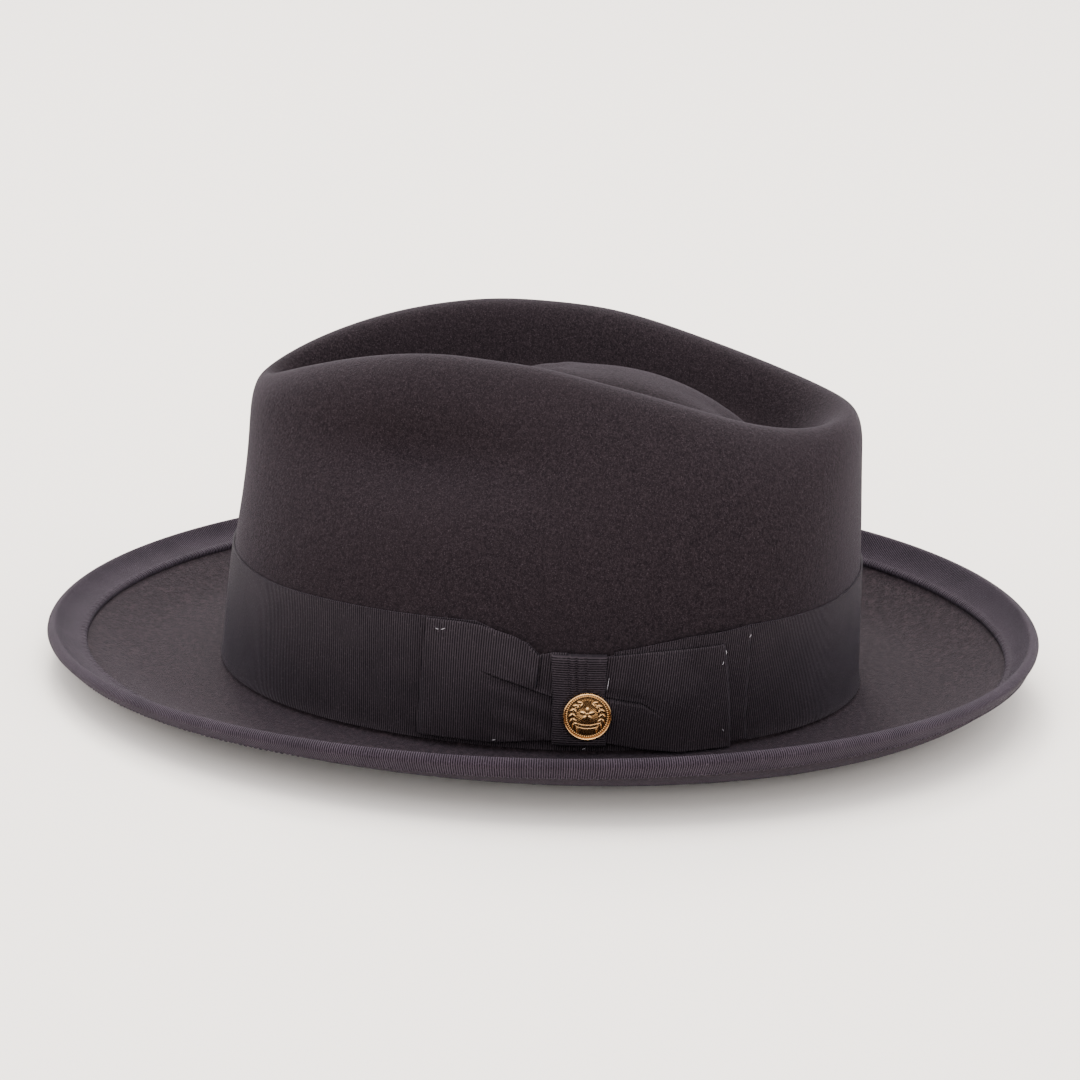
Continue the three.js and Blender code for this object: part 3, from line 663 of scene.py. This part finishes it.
def hat_band():
    joint = wall_angle(14.0)
    slit = 0.001
    phi = np.linspace(joint + slit, joint + 2 * np.pi - slit, 800)[:, None]
    v = np.array([0, 0.006, 0.02, 0.04, *np.linspace(0.08, 0.92, 14), 0.96, 0.98, 0.994, 1])[None]
    top = band_top(phi)
    z = top + (BAND_BOTTOM - top + 0.12 * np.sin(5 * phi + 2)) * v
    edge = bell(v, 0.02) + bell(1 - v, 0.02)
    ease = 0.25 + 0.12 * np.sin(9 * phi + 2 * v) * np.sin(math.pi * v) + 0.18 * bell(1 - v, 0.05)
    outer = outside(phi, z, ease + RIBBON + 0.12 * edge)
    inner = outside(phi, z, ease - 0.05 * edge)
    along = arc_lengths(outer[:, 10])[:, None] * np.ones_like(v)
    cloth = np.stack([along, z], -1) * MM
    piece = shell("hat_band_ribbon", outer, inner, BAND_CLOTH, cloth=cloth, crease=60)
    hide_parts("hat_band")
    return piece


def bow_piece(name, s, z, off, thick, node, ribs_up=False, drop=0.0):
    """A sheet of ribbon on the band. s, z and off are grids: distance to the rear of the badge,
    height, and distance out from the wall. ribs_up turns the ribs level, as on the knot, and
    drop is how far the sheet's back lies below its front, where it lies level."""
    phi = wall_angle(s)
    outer = outside(phi, z, off)
    inner = outside(phi, z - drop, off - thick)
    cloth = np.stack([z, s] if ribs_up else [s, z], -1) * MM
    piece = shell(name, outer, inner, BAND_CLOTH, cloth=cloth, crease=50)
    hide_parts(node)
    return piece


def unit_grid(n, m):
    return np.meshgrid(np.linspace(0, 1, n), np.linspace(0, 1, m), indexing="ij")


def quarter(x):
    """A quarter circle: 0 at x = 0, steepening to 1 at x = 1."""
    return 1 - np.sqrt(np.maximum(0, 1 - x**2))


def rounded(u, start, drop):
    """0 up to start, then growing in a quarter circle to drop at u = 1."""
    return drop * quarter(np.clip((u - start) / (1 - start), 0, 1))


TAIL_OFF = 1.45
LOOP_OFF = 2.3


def bow_tail():
    u, v = unit_grid(60, 50)
    s = 6 + (52.5 - 3.6 * v - 6) * u
    top = np.interp(s, [4, 28, 40, 49], [34.5, 39.4, 40.6, 41.6])
    bottom = np.interp(s, [4, 30, 52], [6.5, 4.2, 4.4])
    z = bottom + (top - bottom) * v
    off = TAIL_OFF + 0.5 - rounded(u, 0.985, 0.45) + 0.08 * np.sin(0.5 * s + 2 * v)
    return bow_piece("bow_tail_ribbon", s, z, off, RIBBON, "bow_tail")


def pleat(z, line, strength, lift, side=1):
    """A fold that lies over the ribbon beyond a line, with the dark slit under its lip."""
    past = side * (z - line)
    lip = lift * smoothstep(past, -0.12, 0.25) * bell(np.maximum(past, 0), 9)
    slit = 0.75 * bell(past + 0.22, 0.26)
    hollow = 0.45 * bell(past + 1.6, 1.7) * (past < 0.4)
    return strength * (lip - slit - hollow)


def bow_front():
    """The front loop: flat at its far end, and drawn in to the knot with one fold over another."""
    u, v = unit_grid(140, 260)
    s = (-53 + 2.6 * v) * (1 - u) - 8 * u
    top = np.interp(s, [-53, -40, -34, -29, -24, -20.4, -18, -16.6, -15.8, -12],
                    [41.8, 41.8, 41.2, 40, 38.7, 37, 35, 33.4, 33.6, 34.6])
    bottom = np.interp(s, [-53, -28, -12], [5.2, 5.1, 6.8])
    z = bottom + (top - bottom) * v
    drawn = smoothstep(s, -40, -14)
    puff = np.sin(np.pi * np.clip((s + 50) / 40, 0, 1)) * np.sin(np.pi * v) ** 0.7
    off = LOOP_OFF + 0.9 * smoothstep(s, -52.8, -50) + 1.2 * puff
    line = np.interp(s, [-34, -32.6, -22, -10], [28.0, 27.6, 24.6, 20.6])
    off = off + pleat(z, line, smoothstep(s, -34.5, -25), 1.1)
    off = off + 0.55 * drawn * bell(z - (top - 5 - 3 * drawn), 2.6)
    off = off + 0.25 * drawn * np.sin((z - line) * 0.8 + 0.05 * s) * smoothstep(line - z, 1, 6)
    end = -15.9 + 0.08 * (z - 30)
    inner_layer = smoothstep(s, end - 0.35, end + 0.1) * smoothstep(z, line + 0.2, line + 1.2)
    off = off * (1 - inner_layer) + inner_layer * (LOOP_OFF + 1.0)
    off = off - 0.8 * bell(s - end - 0.3, 0.3) * smoothstep(z, line, line + 2)
    off = off - rounded(v, 0.985, 0.35) - rounded(1 - v, 0.985, 0.35)
    return bow_piece("bow_front_ribbon", s, z, off, RIBBON, "bow_front_loop")


def bow_rear():
    u, v = unit_grid(140, 250)
    s = 3 * (1 - u) + (46.6 - 6.6 * v**1.5) * u
    top = np.interp(s, [3, 17.6, 40], [33.8, 35.4, 36.9])
    bottom = np.interp(s, [3, 10, 18, 29, 47], [7.0, 5.8, 4.2, 2.9, 3.0])
    z = bottom + (top - bottom) * v
    puff = np.sin(np.pi * np.clip((s - 2) / 46, 0, 1)) * np.sin(np.pi * v) ** 0.8
    off = LOOP_OFF + 1.2 + 1.0 * puff
    line = np.interp(s, [4, 6.3, 16.5, 21.4, 26], [20.7, 20.5, 18.8, 15.5, 12])
    off = off + pleat(z, line, smoothstep(-s, -25, -12), 0.9, side=-1)
    off = off + 0.25 * bell(s - 30, 5) * np.sin(0.35 * z + 0.6)
    end = np.clip((46.6 - 6.6 * v**1.5 - s) / 1.5, 0, 1)
    off = off - 1.7 * quarter(1 - end)
    off = off - rounded(v, 0.985, 0.3) - rounded(1 - v, 0.985, 0.3)
    return bow_piece("bow_rear_ribbon", s, z, off, RIBBON, "bow_rear_loop")


KNOT_LOW, KNOT_HIGH = 5.8, 34.2
KNOT_HALF = 8.2
KNOT_OFF = 5.3
KNOT_FACE = 4.65         # from the felt to the face that the badge lies on
BADGE_GAP = 0.06         # from the pressed cloth to the badge's back


def under_badge(s, z, off):
    """Presses the knot's cloth flat where the badge lies on it."""
    middle, _, _, out = badge_frame()
    away = on_wall(s, z, off) - middle
    high = away @ out
    reach = np.sqrt(np.maximum(0, (away**2).sum(-1) - high**2))
    excess = np.maximum(0, high - (BADGE_BACK - BADGE_GAP))
    return off - excess * (1 - smoothstep(reach, 7.8, 8.6))


def bow_knot():
    """The short ribbon round the bow's middle, pleated lengthwise, with its ends turned in behind."""
    u, v = unit_grid(100, 190)
    u, v = 2 * u - 1, 1.24 * v - 0.12
    body = np.clip(v, 0, 1)
    beyond = np.abs(v - 0.5) - 0.5
    z = KNOT_LOW + (KNOT_HIGH - KNOT_LOW) * body
    s = -3.0 - 3.0 * (z - 20) / 28.5 + KNOT_HALF * u * (1 - 0.05 * np.sin(np.pi * body))
    bend = np.clip((beyond + 0.07) / 0.07, 0, 1)
    off = KNOT_OFF + 0.35 * (1 - u**2) - 1.3 * quarter(bend)
    off = off - 2.2 * np.clip(beyond, 0, 0.12) / 0.12
    for at, deep in ((-0.38, 0.42), (-0.1, 0.5), (0.24, 0.34)):
        fold = u - at - 0.07 * np.sin(2.2 * v) * (1 - v)
        off = off - deep * bell(fold, 0.045) * smoothstep(v, 0.05, 0.8)
        off = off + 0.16 * bell(fold - 0.12, 0.09) * smoothstep(v, 0.05, 0.8)
    side = np.clip((np.abs(u) * KNOT_HALF - KNOT_HALF + 0.7) / 0.7, 0, 1)
    off = off - 0.7 * quarter(side)
    drop = RIBBON * np.sign(v - 0.5) * np.clip(bend, 0, 1)
    off = under_badge(s, z, off)
    return bow_piece("bow_knot_ribbon", s, z, off, RIBBON, "bow_knot", ribs_up=True, drop=drop)


# ---------------------------------------------------------------- small stitches on the bow


def on_wall(s, z, off):
    s, z = np.asarray(s, float), np.asarray(z, float)
    return outside(wall_angle(s), z, off)


def tack_stitches():
    """The pale hand stitches that hold the bow to the band: place, height, run and rise of each."""
    spots = np.array([
        [-45.0, 39.4, 1.1, 0.5, 3.9], [-46.8, 39.2, 0.8, -0.2, 3.8], [40.0, 34.6, -0.3, 1.3, 4.0],
        [39.4, 31.2, 0.2, 1.0, 4.2], [43.0, 8.8, 0.5, -1.0, 3.6], [5.0, 25.8, 0.1, 3.6, 4.6],
        [0.1, 4.8, 0.9, 0.3, 3.6], [-27.6, 6.3, 1.0, 0.2, 4.0], [48.4, 38.6, 0.5, 0.9, 2.5]])
    place, height, run, rise, off = spots.T
    starts = on_wall(place - run / 2, height - rise / 2, off)
    ends = on_wall(place + run / 2, height + rise / 2, off)
    return stitches("bow_tacking", starts, ends, wall_out(wall_angle(place)) * 0.2, 0.11, PALE_THREAD)


# ---------------------------------------------------------------- badge
BADGE_PHI = float(wall_angle(0.0))
BADGE_HEIGHT = 15.6
EMBLEM = 1.07            # size of the struck emblem
BADGE_BACK = KNOT_FACE + 0.35    # from the felt to the badge's flat back


def badge_frame():
    """The badge's middle and its axes: right, up and out."""
    row = wall_row(np.array([BADGE_PHI]), np.array([BADGE_HEIGHT]), OUTER_ROWS)
    middle = felt_face(np.array([BADGE_PHI]), row)[0]
    out = felt_normal(np.array([BADGE_PHI]), row)[0]
    right = unit(np.cross([0, 0, 1.0], out))
    return middle, right, np.cross(out, right), out


def bulge(x, y, at, size, turn):
    """A raised oval, 1 at its middle and 0 outside it."""
    dx, dy = x - at[0], y - at[1]
    along = (dx * math.cos(turn) + dy * math.sin(turn)) / size[0]
    across = (dy * math.cos(turn) - dx * math.sin(turn)) / size[1]
    return np.sqrt(np.maximum(0, 1 - along**2 - across**2))


def badge_relief(x, y):
    """The struck emblem: a rosette over a plain scroll, between two sprigs. From 0 to 1."""
    r, turn = np.hypot(x, y - 0.7), np.arctan2(x, y - 0.7)
    relief = 0.12 * (0.5 + 0.5 * np.cos(36 * turn)) * smoothstep(-np.hypot(x, y), -5.2, -4.8)
    for side in (-1, 1):
        for k in range(7):
            angle = side * (0.62 + 0.34 * k)
            for radius, tilt in ((4.75, 0.55), (3.75, -0.55)):
                at = (radius * math.sin(angle), -radius * math.cos(angle))
                leaf = bulge(x, y, at, (0.82, 0.33), angle + side * tilt * 1.2)
                relief = np.maximum(relief, 0.78 * leaf)
        stem = smoothstep(-np.abs(np.hypot(x, y) - 4.25), -0.16, -0.08) * (side * x > 2.2) * (y < 3.6)
        relief = np.maximum(relief, 0.5 * stem)
    for k in range(5):
        angle = 2 * math.pi * k / 5
        at = (1.25 * math.sin(angle), 1.25 * math.cos(angle))
        petal = bulge(x, y - 0.7, at, (1.0, 0.62), math.pi / 2 - angle)
        relief = np.maximum(relief, 0.85 * petal)
    relief = np.maximum(relief, smoothstep(-r, -0.6, -0.4))
    scroll = np.abs(y + 3.0 - 0.06 * x**2)
    plate = smoothstep(-scroll, -0.62, -0.54) * smoothstep(-np.abs(x), -2.9, -2.8)
    edge = smoothstep(-np.abs(scroll - 0.5), -0.12, -0.06) * smoothstep(-np.abs(x), -2.9, -2.8)
    return np.maximum(np.where(plate > 0.02, 0.0, relief), np.maximum(0.5 * plate, 0.8 * edge))


def badge_face():
    middle, right, up, out = badge_frame()
    rim_start = 6.75
    rim_radii = np.array([6.82, 6.9, 7.0, 7.12, 7.24, 7.34, 7.42, 7.47, 7.5, 7.5, 7.42, 7.2])
    rim_heights = np.array([1.1, 1.32, 1.48, 1.55, 1.52, 1.43, 1.28, 1.05, 0.8, 0.35, 0.12, 0.0])
    radii = np.concatenate([np.linspace(0, rim_start, 108), rim_radii])
    count = 360
    turn = full_round(count)
    r = np.broadcast_to(radii, (count, len(radii)))
    x, y = r * np.sin(turn), r * np.cos(turn)
    relief = badge_relief(x / EMBLEM, y / EMBLEM) * (r < 5.9 * EMBLEM)
    beads = (0.5 + 0.5 * np.cos(60 * turn)) * bell(r - 5.95 * EMBLEM, 0.2)
    relief = np.maximum(relief, 0.7 * beads)
    dome = 1.15 - 0.22 * (r / rim_start) ** 2
    rim = np.concatenate([np.zeros(len(radii) - len(rim_heights)), rim_heights])
    height = np.where(r <= rim_start, dome + 0.32 * relief, rim[None])
    outer = middle + x[..., None] * right + y[..., None] * up + (BADGE_BACK + height)[..., None] * out
    flat = middle + 0.95 * (x[..., None] * right + y[..., None] * up) + BADGE_BACK * out
    shine = np.where(r <= rim_start, 0.12 + 0.88 * relief, 1.0)
    cloth = np.stack([x * MM, y * MM, shine], -1)
    piece = shell("badge_medallion", outer, flat, BADGE_BRASS, ring=True, disc=True, cloth=cloth, crease=75)
    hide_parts("badge_face")
    return piece


# ---------------------------------------------------------------- sweatband


def inner_sheet(name, phi, z, off, thick, material, node, ring=False, crease=50):
    """A sheet inside the crown. off is from the felt's inner face to the sheet's back."""
    back, front = inside(phi, z, off), inside(phi, z, off + thick)
    middle = front[:, front.shape[1] // 2]
    around = arc_lengths(middle)[:, None] * np.ones(front.shape[:2])
    cloth = np.stack([around, np.broadcast_to(z, around.shape)], -1) * MM
    piece = shell(name, front, back, material, ring=ring, cloth=cloth, crease=crease)
    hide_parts(node)
    return piece


CLUTCH_BULGE = {"rise": 1.7, "along": 14, "up": 10}


def leather_off(phi, z):
    """The leather stands off further where it passes over the badge's clutch."""
    place = outside(phi, z, 0)
    middle = badge_frame()[0]
    along = (place[..., 1] - middle[1]) / CLUTCH_BULGE["along"]
    up = (z - BADGE_HEIGHT) / CLUTCH_BULGE["up"]
    near = np.where(place[..., 0] > 0, np.exp(-(along**2) - up**2), 0)
    ease = 0.12 * np.sin(7 * phi + 0.05 * z) * smoothstep(z, 12, 40)
    return LEATHER_OFF + CLUTCH_BULGE["rise"] * near + ease


def sweatband_leather():
    slit = 0.0022
    phi = np.linspace(BACK + slit, BACK + 2 * np.pi - slit, 620)[:, None]
    v = np.concatenate([[0, 0.004, 0.012, 0.025], np.linspace(0.04, 0.96, 44), [0.975, 0.99, 1]])[None]
    z = LEATHER_TOP + (LEATHER_BOTTOM - LEATHER_TOP) * v + 0 * phi
    pressed = 0.16 * bell(LEATHER_TOP - z - 2.4, 0.28)
    pressed = pressed + 0.12 * bell(LEATHER_TOP - z - 3.4, 0.2)
    pressed = pressed + 0.2 * bell(z - 6.6, 0.4)
    skived = 0.45 * bell(LEATHER_TOP - z, 0.5) + 0.3 * bell(z - LEATHER_BOTTOM, 0.4)
    crease = 0.07 * np.sin(60 * phi + 3 * np.sin(5 * phi)) * bell(z - 9, 4)
    thick = LEATHER - pressed - skived + crease
    return inner_sheet("sweatband_hide", phi, z, leather_off(phi, z), thick, LEATHER_SKIN,
                       "sweatband_leather")


def leather_stitches():
    """The lock stitch that joins the leather to the reed's tape."""
    height, pitch = 6.6, 3.1
    ends = []
    for phi in stitch_angles(lambda phi: inside(phi, height, LEATHER_OFF), pitch, 1.05):
        ends.append(inside(phi, height, leather_off(phi, np.full(phi.shape, height)) + LEATHER - 0.12))
    return stitches("leather_stitching", *ends, -wall_out(phi) * 0.22, 0.17, PALE_TAN_THREAD)


def back_seam_stitches():
    """The zigzag over the leather's butted ends, at the back of the hat."""
    heights = np.arange(19.5, 44.5, 1.5)
    side = np.where(np.arange(len(heights)) % 2 == 0, 1, -1)
    reach = 1.3 / back_radius(25.0, LEATHER_OFF)
    starts = inside(BACK - side * reach, heights, LEATHER_OFF + LEATHER - 0.05)
    ends = inside(BACK + side * reach, heights + 1.4, LEATHER_OFF + LEATHER - 0.05)
    out = np.broadcast_to(np.array([0, -0.2, 0]), starts.shape)
    return stitches("back_seam_stitching", starts, ends, out, 0.16, PALE_TAN_THREAD)


def cord_piece(name, path, radius, material, node, strands, twist):
    """A twisted cord: a tube whose round is dented between its strands."""
    sides = 16
    ahead = unit(np.roll(path, -1, 0) - np.roll(path, 1, 0))
    turn = np.linspace(0, 2 * np.pi, sides, endpoint=False)[None]
    walked = arc_lengths(path)
    length = walked[-1] + np.linalg.norm(path[0] - path[-1])
    lay = 2 * np.pi * round(length / twist) * walked / length
    dent = np.abs(np.cos((strands * turn - lay[:, None]) / 2))
    swell = radius * (0.8 + 0.2 * dent)
    points = rings_along(path, ahead, sides, swell)
    cloth = np.stack([np.broadcast_to(walked[:, None], dent.shape), dent, dent], -1) * [MM, 1, 1]
    piece = make_object(name, points.reshape(-1, 3), tube_faces(len(path), sides, True), material,
                        cloth.reshape(-1, 3), crease=80)
    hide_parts(node)
    return piece


def sweatband_reed():
    height, off, radius = 2.3, 2.2, 1.0
    path = inside(full_round(1400)[:, 0], height, off)
    return cord_piece("sweatband_reed_cord", path, radius, REED_SKIN, "sweatband_reed", 2, 1.6)


def sweatband_tape():
    phi = full_round(480)
    z = np.array([10, 9.9, 9.6, *np.linspace(9.2, 3.0, 8), 2.6, 2.3, 2.2])[None] + 0 * phi
    selvedge = 0.06 * bell(10 - z, 0.35)
    return inner_sheet("sweatband_tape_cloth", phi, z, 0.35, 0.3 + selvedge, TAPE_CLOTH, "sweatband_tape",
                       ring=True)


def sweatband_stay():
    phi = np.linspace(BACK - 0.1, BACK + 0.1, 60)[:, None]
    z = np.linspace(33, 12, 50)[None] + 0.25 * np.sin(240 * phi)
    return inner_sheet("sweatband_stay_cloth", phi, z, 0.45 + 0.05 * np.sin(0.9 * z), 0.35, TAPE_CLOTH,
                       "sweatband_stay")


def size_tab():
    """A blank woven tab, with turned edges and a stitched border."""
    phi = np.linspace(BACK + 0.22, BACK + 0.44, 90)[:, None]
    z = np.linspace(32, 14, 80)[None] + 0 * phi
    u = np.abs((phi - BACK - 0.33) / 0.11)
    v = np.abs((z - 23) / 9)
    edge = np.maximum(u, v)
    turned = 0.1 * smoothstep(edge, 0.84, 0.87) - 0.12 * bell(edge - 0.8, 0.015)
    return inner_sheet("size_tab_cloth", phi, z, 0.5, 0.3 + turned * 0.6, TAB_CLOTH,
                       "size_tab")


# ---------------------------------------------------------------- the little bow over the back seam
SEAM_FACE = LEATHER_OFF + LEATHER + 0.35


def seam_bow_loop(side, name, node):
    """One wing: two layers of ribbon that puff out from the knot and end in a notch."""
    u, v = unit_grid(70, 44)
    radius = back_radius(SEAM_BOW_HEIGHT, LEATHER_OFF + LEATHER)
    notch = 1.7 * (1 - np.abs(2 * v - 1))
    reach = 2.0 + (13.2 - 2.0 - notch * u**2) * u
    half = 3.75 * (0.5 + 0.5 * smoothstep(u, 0, 0.75))
    z = 13.25 + half * (2 * v - 1) + 0.25 * np.sin(3.2 * u + side)
    puff = 1.25 * np.sin(np.pi * np.clip(u * 1.15, 0, 1)) ** 0.8 * np.sin(np.pi * v) ** 0.8
    fold = 0.28 * np.cos(2 * np.pi * v * 3) * (1 - smoothstep(u, 0.05, 0.7))
    off = SEAM_FACE + 0.35 + puff + fold
    return inner_sheet(name, BACK + side * reach / radius, z, off, 0.35, BOW_SATIN, node)


def seam_bow_knot():
    u, v = unit_grid(46, 50)
    radius = back_radius(SEAM_BOW_HEIGHT, LEATHER_OFF + LEATHER)
    x = 2.4 * (2 * u - 1) * (1 - 0.12 * np.sin(np.pi * v))
    z = 10.5 + 5.6 * v
    round_off = 1.1 * (1 - np.sqrt(np.maximum(0, 1 - (2 * u - 1) ** 4)))
    off = SEAM_FACE + 1.55 - round_off * 0.8 - 0.8 * np.abs(2 * v - 1) ** 6
    off = off - 0.22 * bell(2 * u - 1.15, 0.12) - 0.18 * bell(2 * u - 0.7, 0.1)
    return inner_sheet("seam_bow_knot_ribbon", BACK + x / radius, z, off, 0.35, BOW_SATIN,
                       "seam_bow_knot")


# ---------------------------------------------------------------- lining


def lining_off(z):
    return 0.7 + 1.5 * np.maximum(0, (z - LEATHER_TOP) / (LINING_SEAM - LEATHER_TOP))


def gathers(phi):
    """The uneven folds of the gathered satin, from 0 to 1."""
    bunch = phi + 0.016 * np.sin(13 * phi) + 0.011 * np.sin(29 * phi + 1)
    return 0.5 + 0.5 * np.sin(84 * bunch + 0.9 * np.sin(11 * phi))


def lining_wall():
    phi = full_round(1100)
    z = np.linspace(LINING_SEAM + 0.5, LINING_HEM, 32)[None] + 0 * phi
    fullness = 0.06 + smoothstep(z, 45, 64)
    fold = fullness * gathers(phi + 0.004 * np.sin(0.3 * z)) * (0.75 + 0.25 * np.sin(17 * phi + 0.2 * z))
    return inner_sheet("lining_wall_satin", phi, z, lining_off(z) + fold * 0.9, 0.22, SATIN, "lining_wall",
                       ring=True)


def piping_path(count):
    phi = np.linspace(0, 2 * np.pi, count, endpoint=False)
    return inside(phi, PIPING_HEIGHT, lining_off(LINING_SEAM) + 1.2)


def lining_piping():
    return cord_piece("lining_piping_cord", piping_path(1300), 0.9, PIPING_SATIN, "lining_piping",
                      3, 5.0)


def dome(u, edge, rise, reach, height):
    middle = edge[:, None] * (u * reach)[..., None]
    middle[..., 2] = height + rise * (1 - u * u)
    return middle


TIP_RISE = 5.0


def lining_tip():
    """The oval tip, slightly crumpled, with pulls running in from its seam."""
    count = 420
    u = np.linspace(0, 1, 70)[None] * np.ones((count, 1))
    phi = full_round(count)
    face = dome(u, piping_path(count), TIP_RISE, TIP_REACH, PIPING_HEIGHT)
    x, y = face[..., 0], face[..., 1]
    pulls = 0.3 * np.sin(52 * phi + 2 * np.sin(6 * phi)) * smoothstep(u, 0.62, 0.98)
    crumple = 0.28 * np.sin(0.13 * x + 0.08 * y + 1) * np.sin(0.11 * y - 0.05 * x)
    lift = (pulls + crumple * (1 - u**4)) * smoothstep(1 - u, 0, 0.02)
    face[..., 2] += np.where(u < 0.66, np.minimum(lift, 0.25), lift)
    cloth = np.stack([x, y], -1) * MM
    under = face.copy()
    under[..., 2] -= 0.25
    piece = shell("lining_tip_satin", face, under, SATIN, ring=True, disc=True, cloth=cloth)
    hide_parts("lining_tip")
    return piece


def tip_shield():
    """The clear oval, with a welded bead round its edge."""
    count, reach = 300, 0.62
    u = np.concatenate([np.linspace(0, 0.93, 26), np.linspace(0.94, 1, 9)])[None] * np.ones((count, 1))
    rise = TIP_RISE * (reach / TIP_REACH) ** 2
    height = LINING_SEAM + 0.1 + TIP_RISE - rise - 0.9
    face = dome(u, piping_path(count), rise, reach, height)
    bead = 0.14 * bell(u - 0.965, 0.012)
    lower = face.copy()
    lower[..., 2] -= 0.22 + bead
    piece = shell("tip_shield_vinyl", face, lower, VINYL, ring=True, disc=True)
    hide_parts("tip_shield")
    return piece


# ---------------------------------------------------------------- run
for name in ("badge_clutch", "badge_post"):
    node = bpy.data.objects[name]
    node.data.materials.clear()
    node.data.materials.append(CLUTCH_BRASS)

on_hat = [
    felt_body(), brim_binding(), binding_stitches(), hat_band(), bow_tail(), bow_front(), bow_rear(),
    bow_knot(), tack_stitches(), sweatband_leather(), leather_stitches(), back_seam_stitches(),
    sweatband_reed(), sweatband_tape(), sweatband_stay(), size_tab(),
    seam_bow_loop(-1, "seam_bow_left_ribbon", "seam_bow_left"),
    seam_bow_loop(1, "seam_bow_right_ribbon", "seam_bow_right"), seam_bow_knot(),
    lining_wall(), lining_piping(), lining_tip(), tip_shield()]
for piece in on_hat:
    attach(piece, "hat")
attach(badge_face(), "badge")

# ---------------------------------------------------------------- stage
BACKDROP = linear(243, 238, 231)
SKY = linear(240, 237, 239)
SKY_STRENGTH = 2.75
FLOOR_HEIGHT = -0.1      # just under the felt, so that the two faces don't meet


def floor():
    shade = Recipe("pale_floor", Roughness=0.9, Specular_IOR_Level=0.1)
    grain = shade.noise(shade.place(), 30, 2, 0.5)
    material = shade.finish(shade.mix(grain, BACKDROP, tuple(0.995 * c for c in BACKDROP)))
    half = 30000.0
    corners = [[x * half, y * half, FLOOR_HEIGHT] for x, y in ((-1, -1), (1, -1), (1, 1), (-1, 1))]
    plane = make_object("floor", corners, [[0, 1, 2, 3]], material)


def light(name, kind, place, **settings):
    """A light at a place, which shines on the middle of the hat."""
    data = bpy.data.lights.new(name, kind)
    for key, value in settings.items():
        setattr(data, key, value)
    lamp = bpy.data.objects.new(name, data)
    bpy.context.collection.objects.link(lamp)
    lamp.location = Vector(place)
    lamp.rotation_mode = "QUATERNION"
    lamp.rotation_quaternion = (Vector((0, 0, 0.04)) - lamp.location).to_track_quat("-Z", "Y")


def lights():
    """A broad soft sun from beyond the hat, which lays its shadow towards the camera, with soft
    panels above and beside it."""
    light("key", "SUN", (-0.97, -0.25, 0.82), energy=2.6, angle=0.26, color=(1.0, 0.96, 0.89))
    light("overhead", "AREA", (-0.5, -0.15, 1.9), shape="RECTANGLE", size=1.8, size_y=1.8, energy=58,
          color=(1.0, 0.96, 0.9))
    light("fill", "AREA", (1.7, 0.15, 0.5), shape="RECTANGLE", size=1.1, size_y=0.8, energy=8)


def camera():
    azimuth, elevation, roll = math.radians(97.8), math.radians(16.8), 0.035
    distance, target = 1.6, Vector((0, 0, 0.05))
    back = Vector((math.sin(azimuth) * math.cos(elevation), -math.cos(azimuth) * math.cos(elevation),
                   math.sin(elevation)))
    right = Vector((0, 0, 1)).cross(back).normalized()
    up = back.cross(right)
    turned = math.cos(roll) * right + math.sin(roll) * up, math.cos(roll) * up - math.sin(roll) * right
    data = bpy.data.cameras.new("camera")
    data.sensor_width = 36
    data.lens = 166.6
    data.shift_x, data.shift_y = -0.0047, -0.0168
    eye = bpy.data.objects.new("camera", data)
    bpy.context.collection.objects.link(eye)
    facing = Matrix((*turned, back)).transposed().to_4x4()
    eye.matrix_world = Matrix.Translation(target + back * distance) @ facing
    bpy.context.scene.camera = eye


def world():
    sky = bpy.data.worlds.new("studio")
    sky.use_nodes = True
    sky.node_tree.nodes["Background"].inputs["Color"].default_value = (*SKY, 1)
    sky.node_tree.nodes["Background"].inputs["Strength"].default_value = SKY_STRENGTH
    bpy.context.scene.world = sky


floor()
lights()
camera()
world()
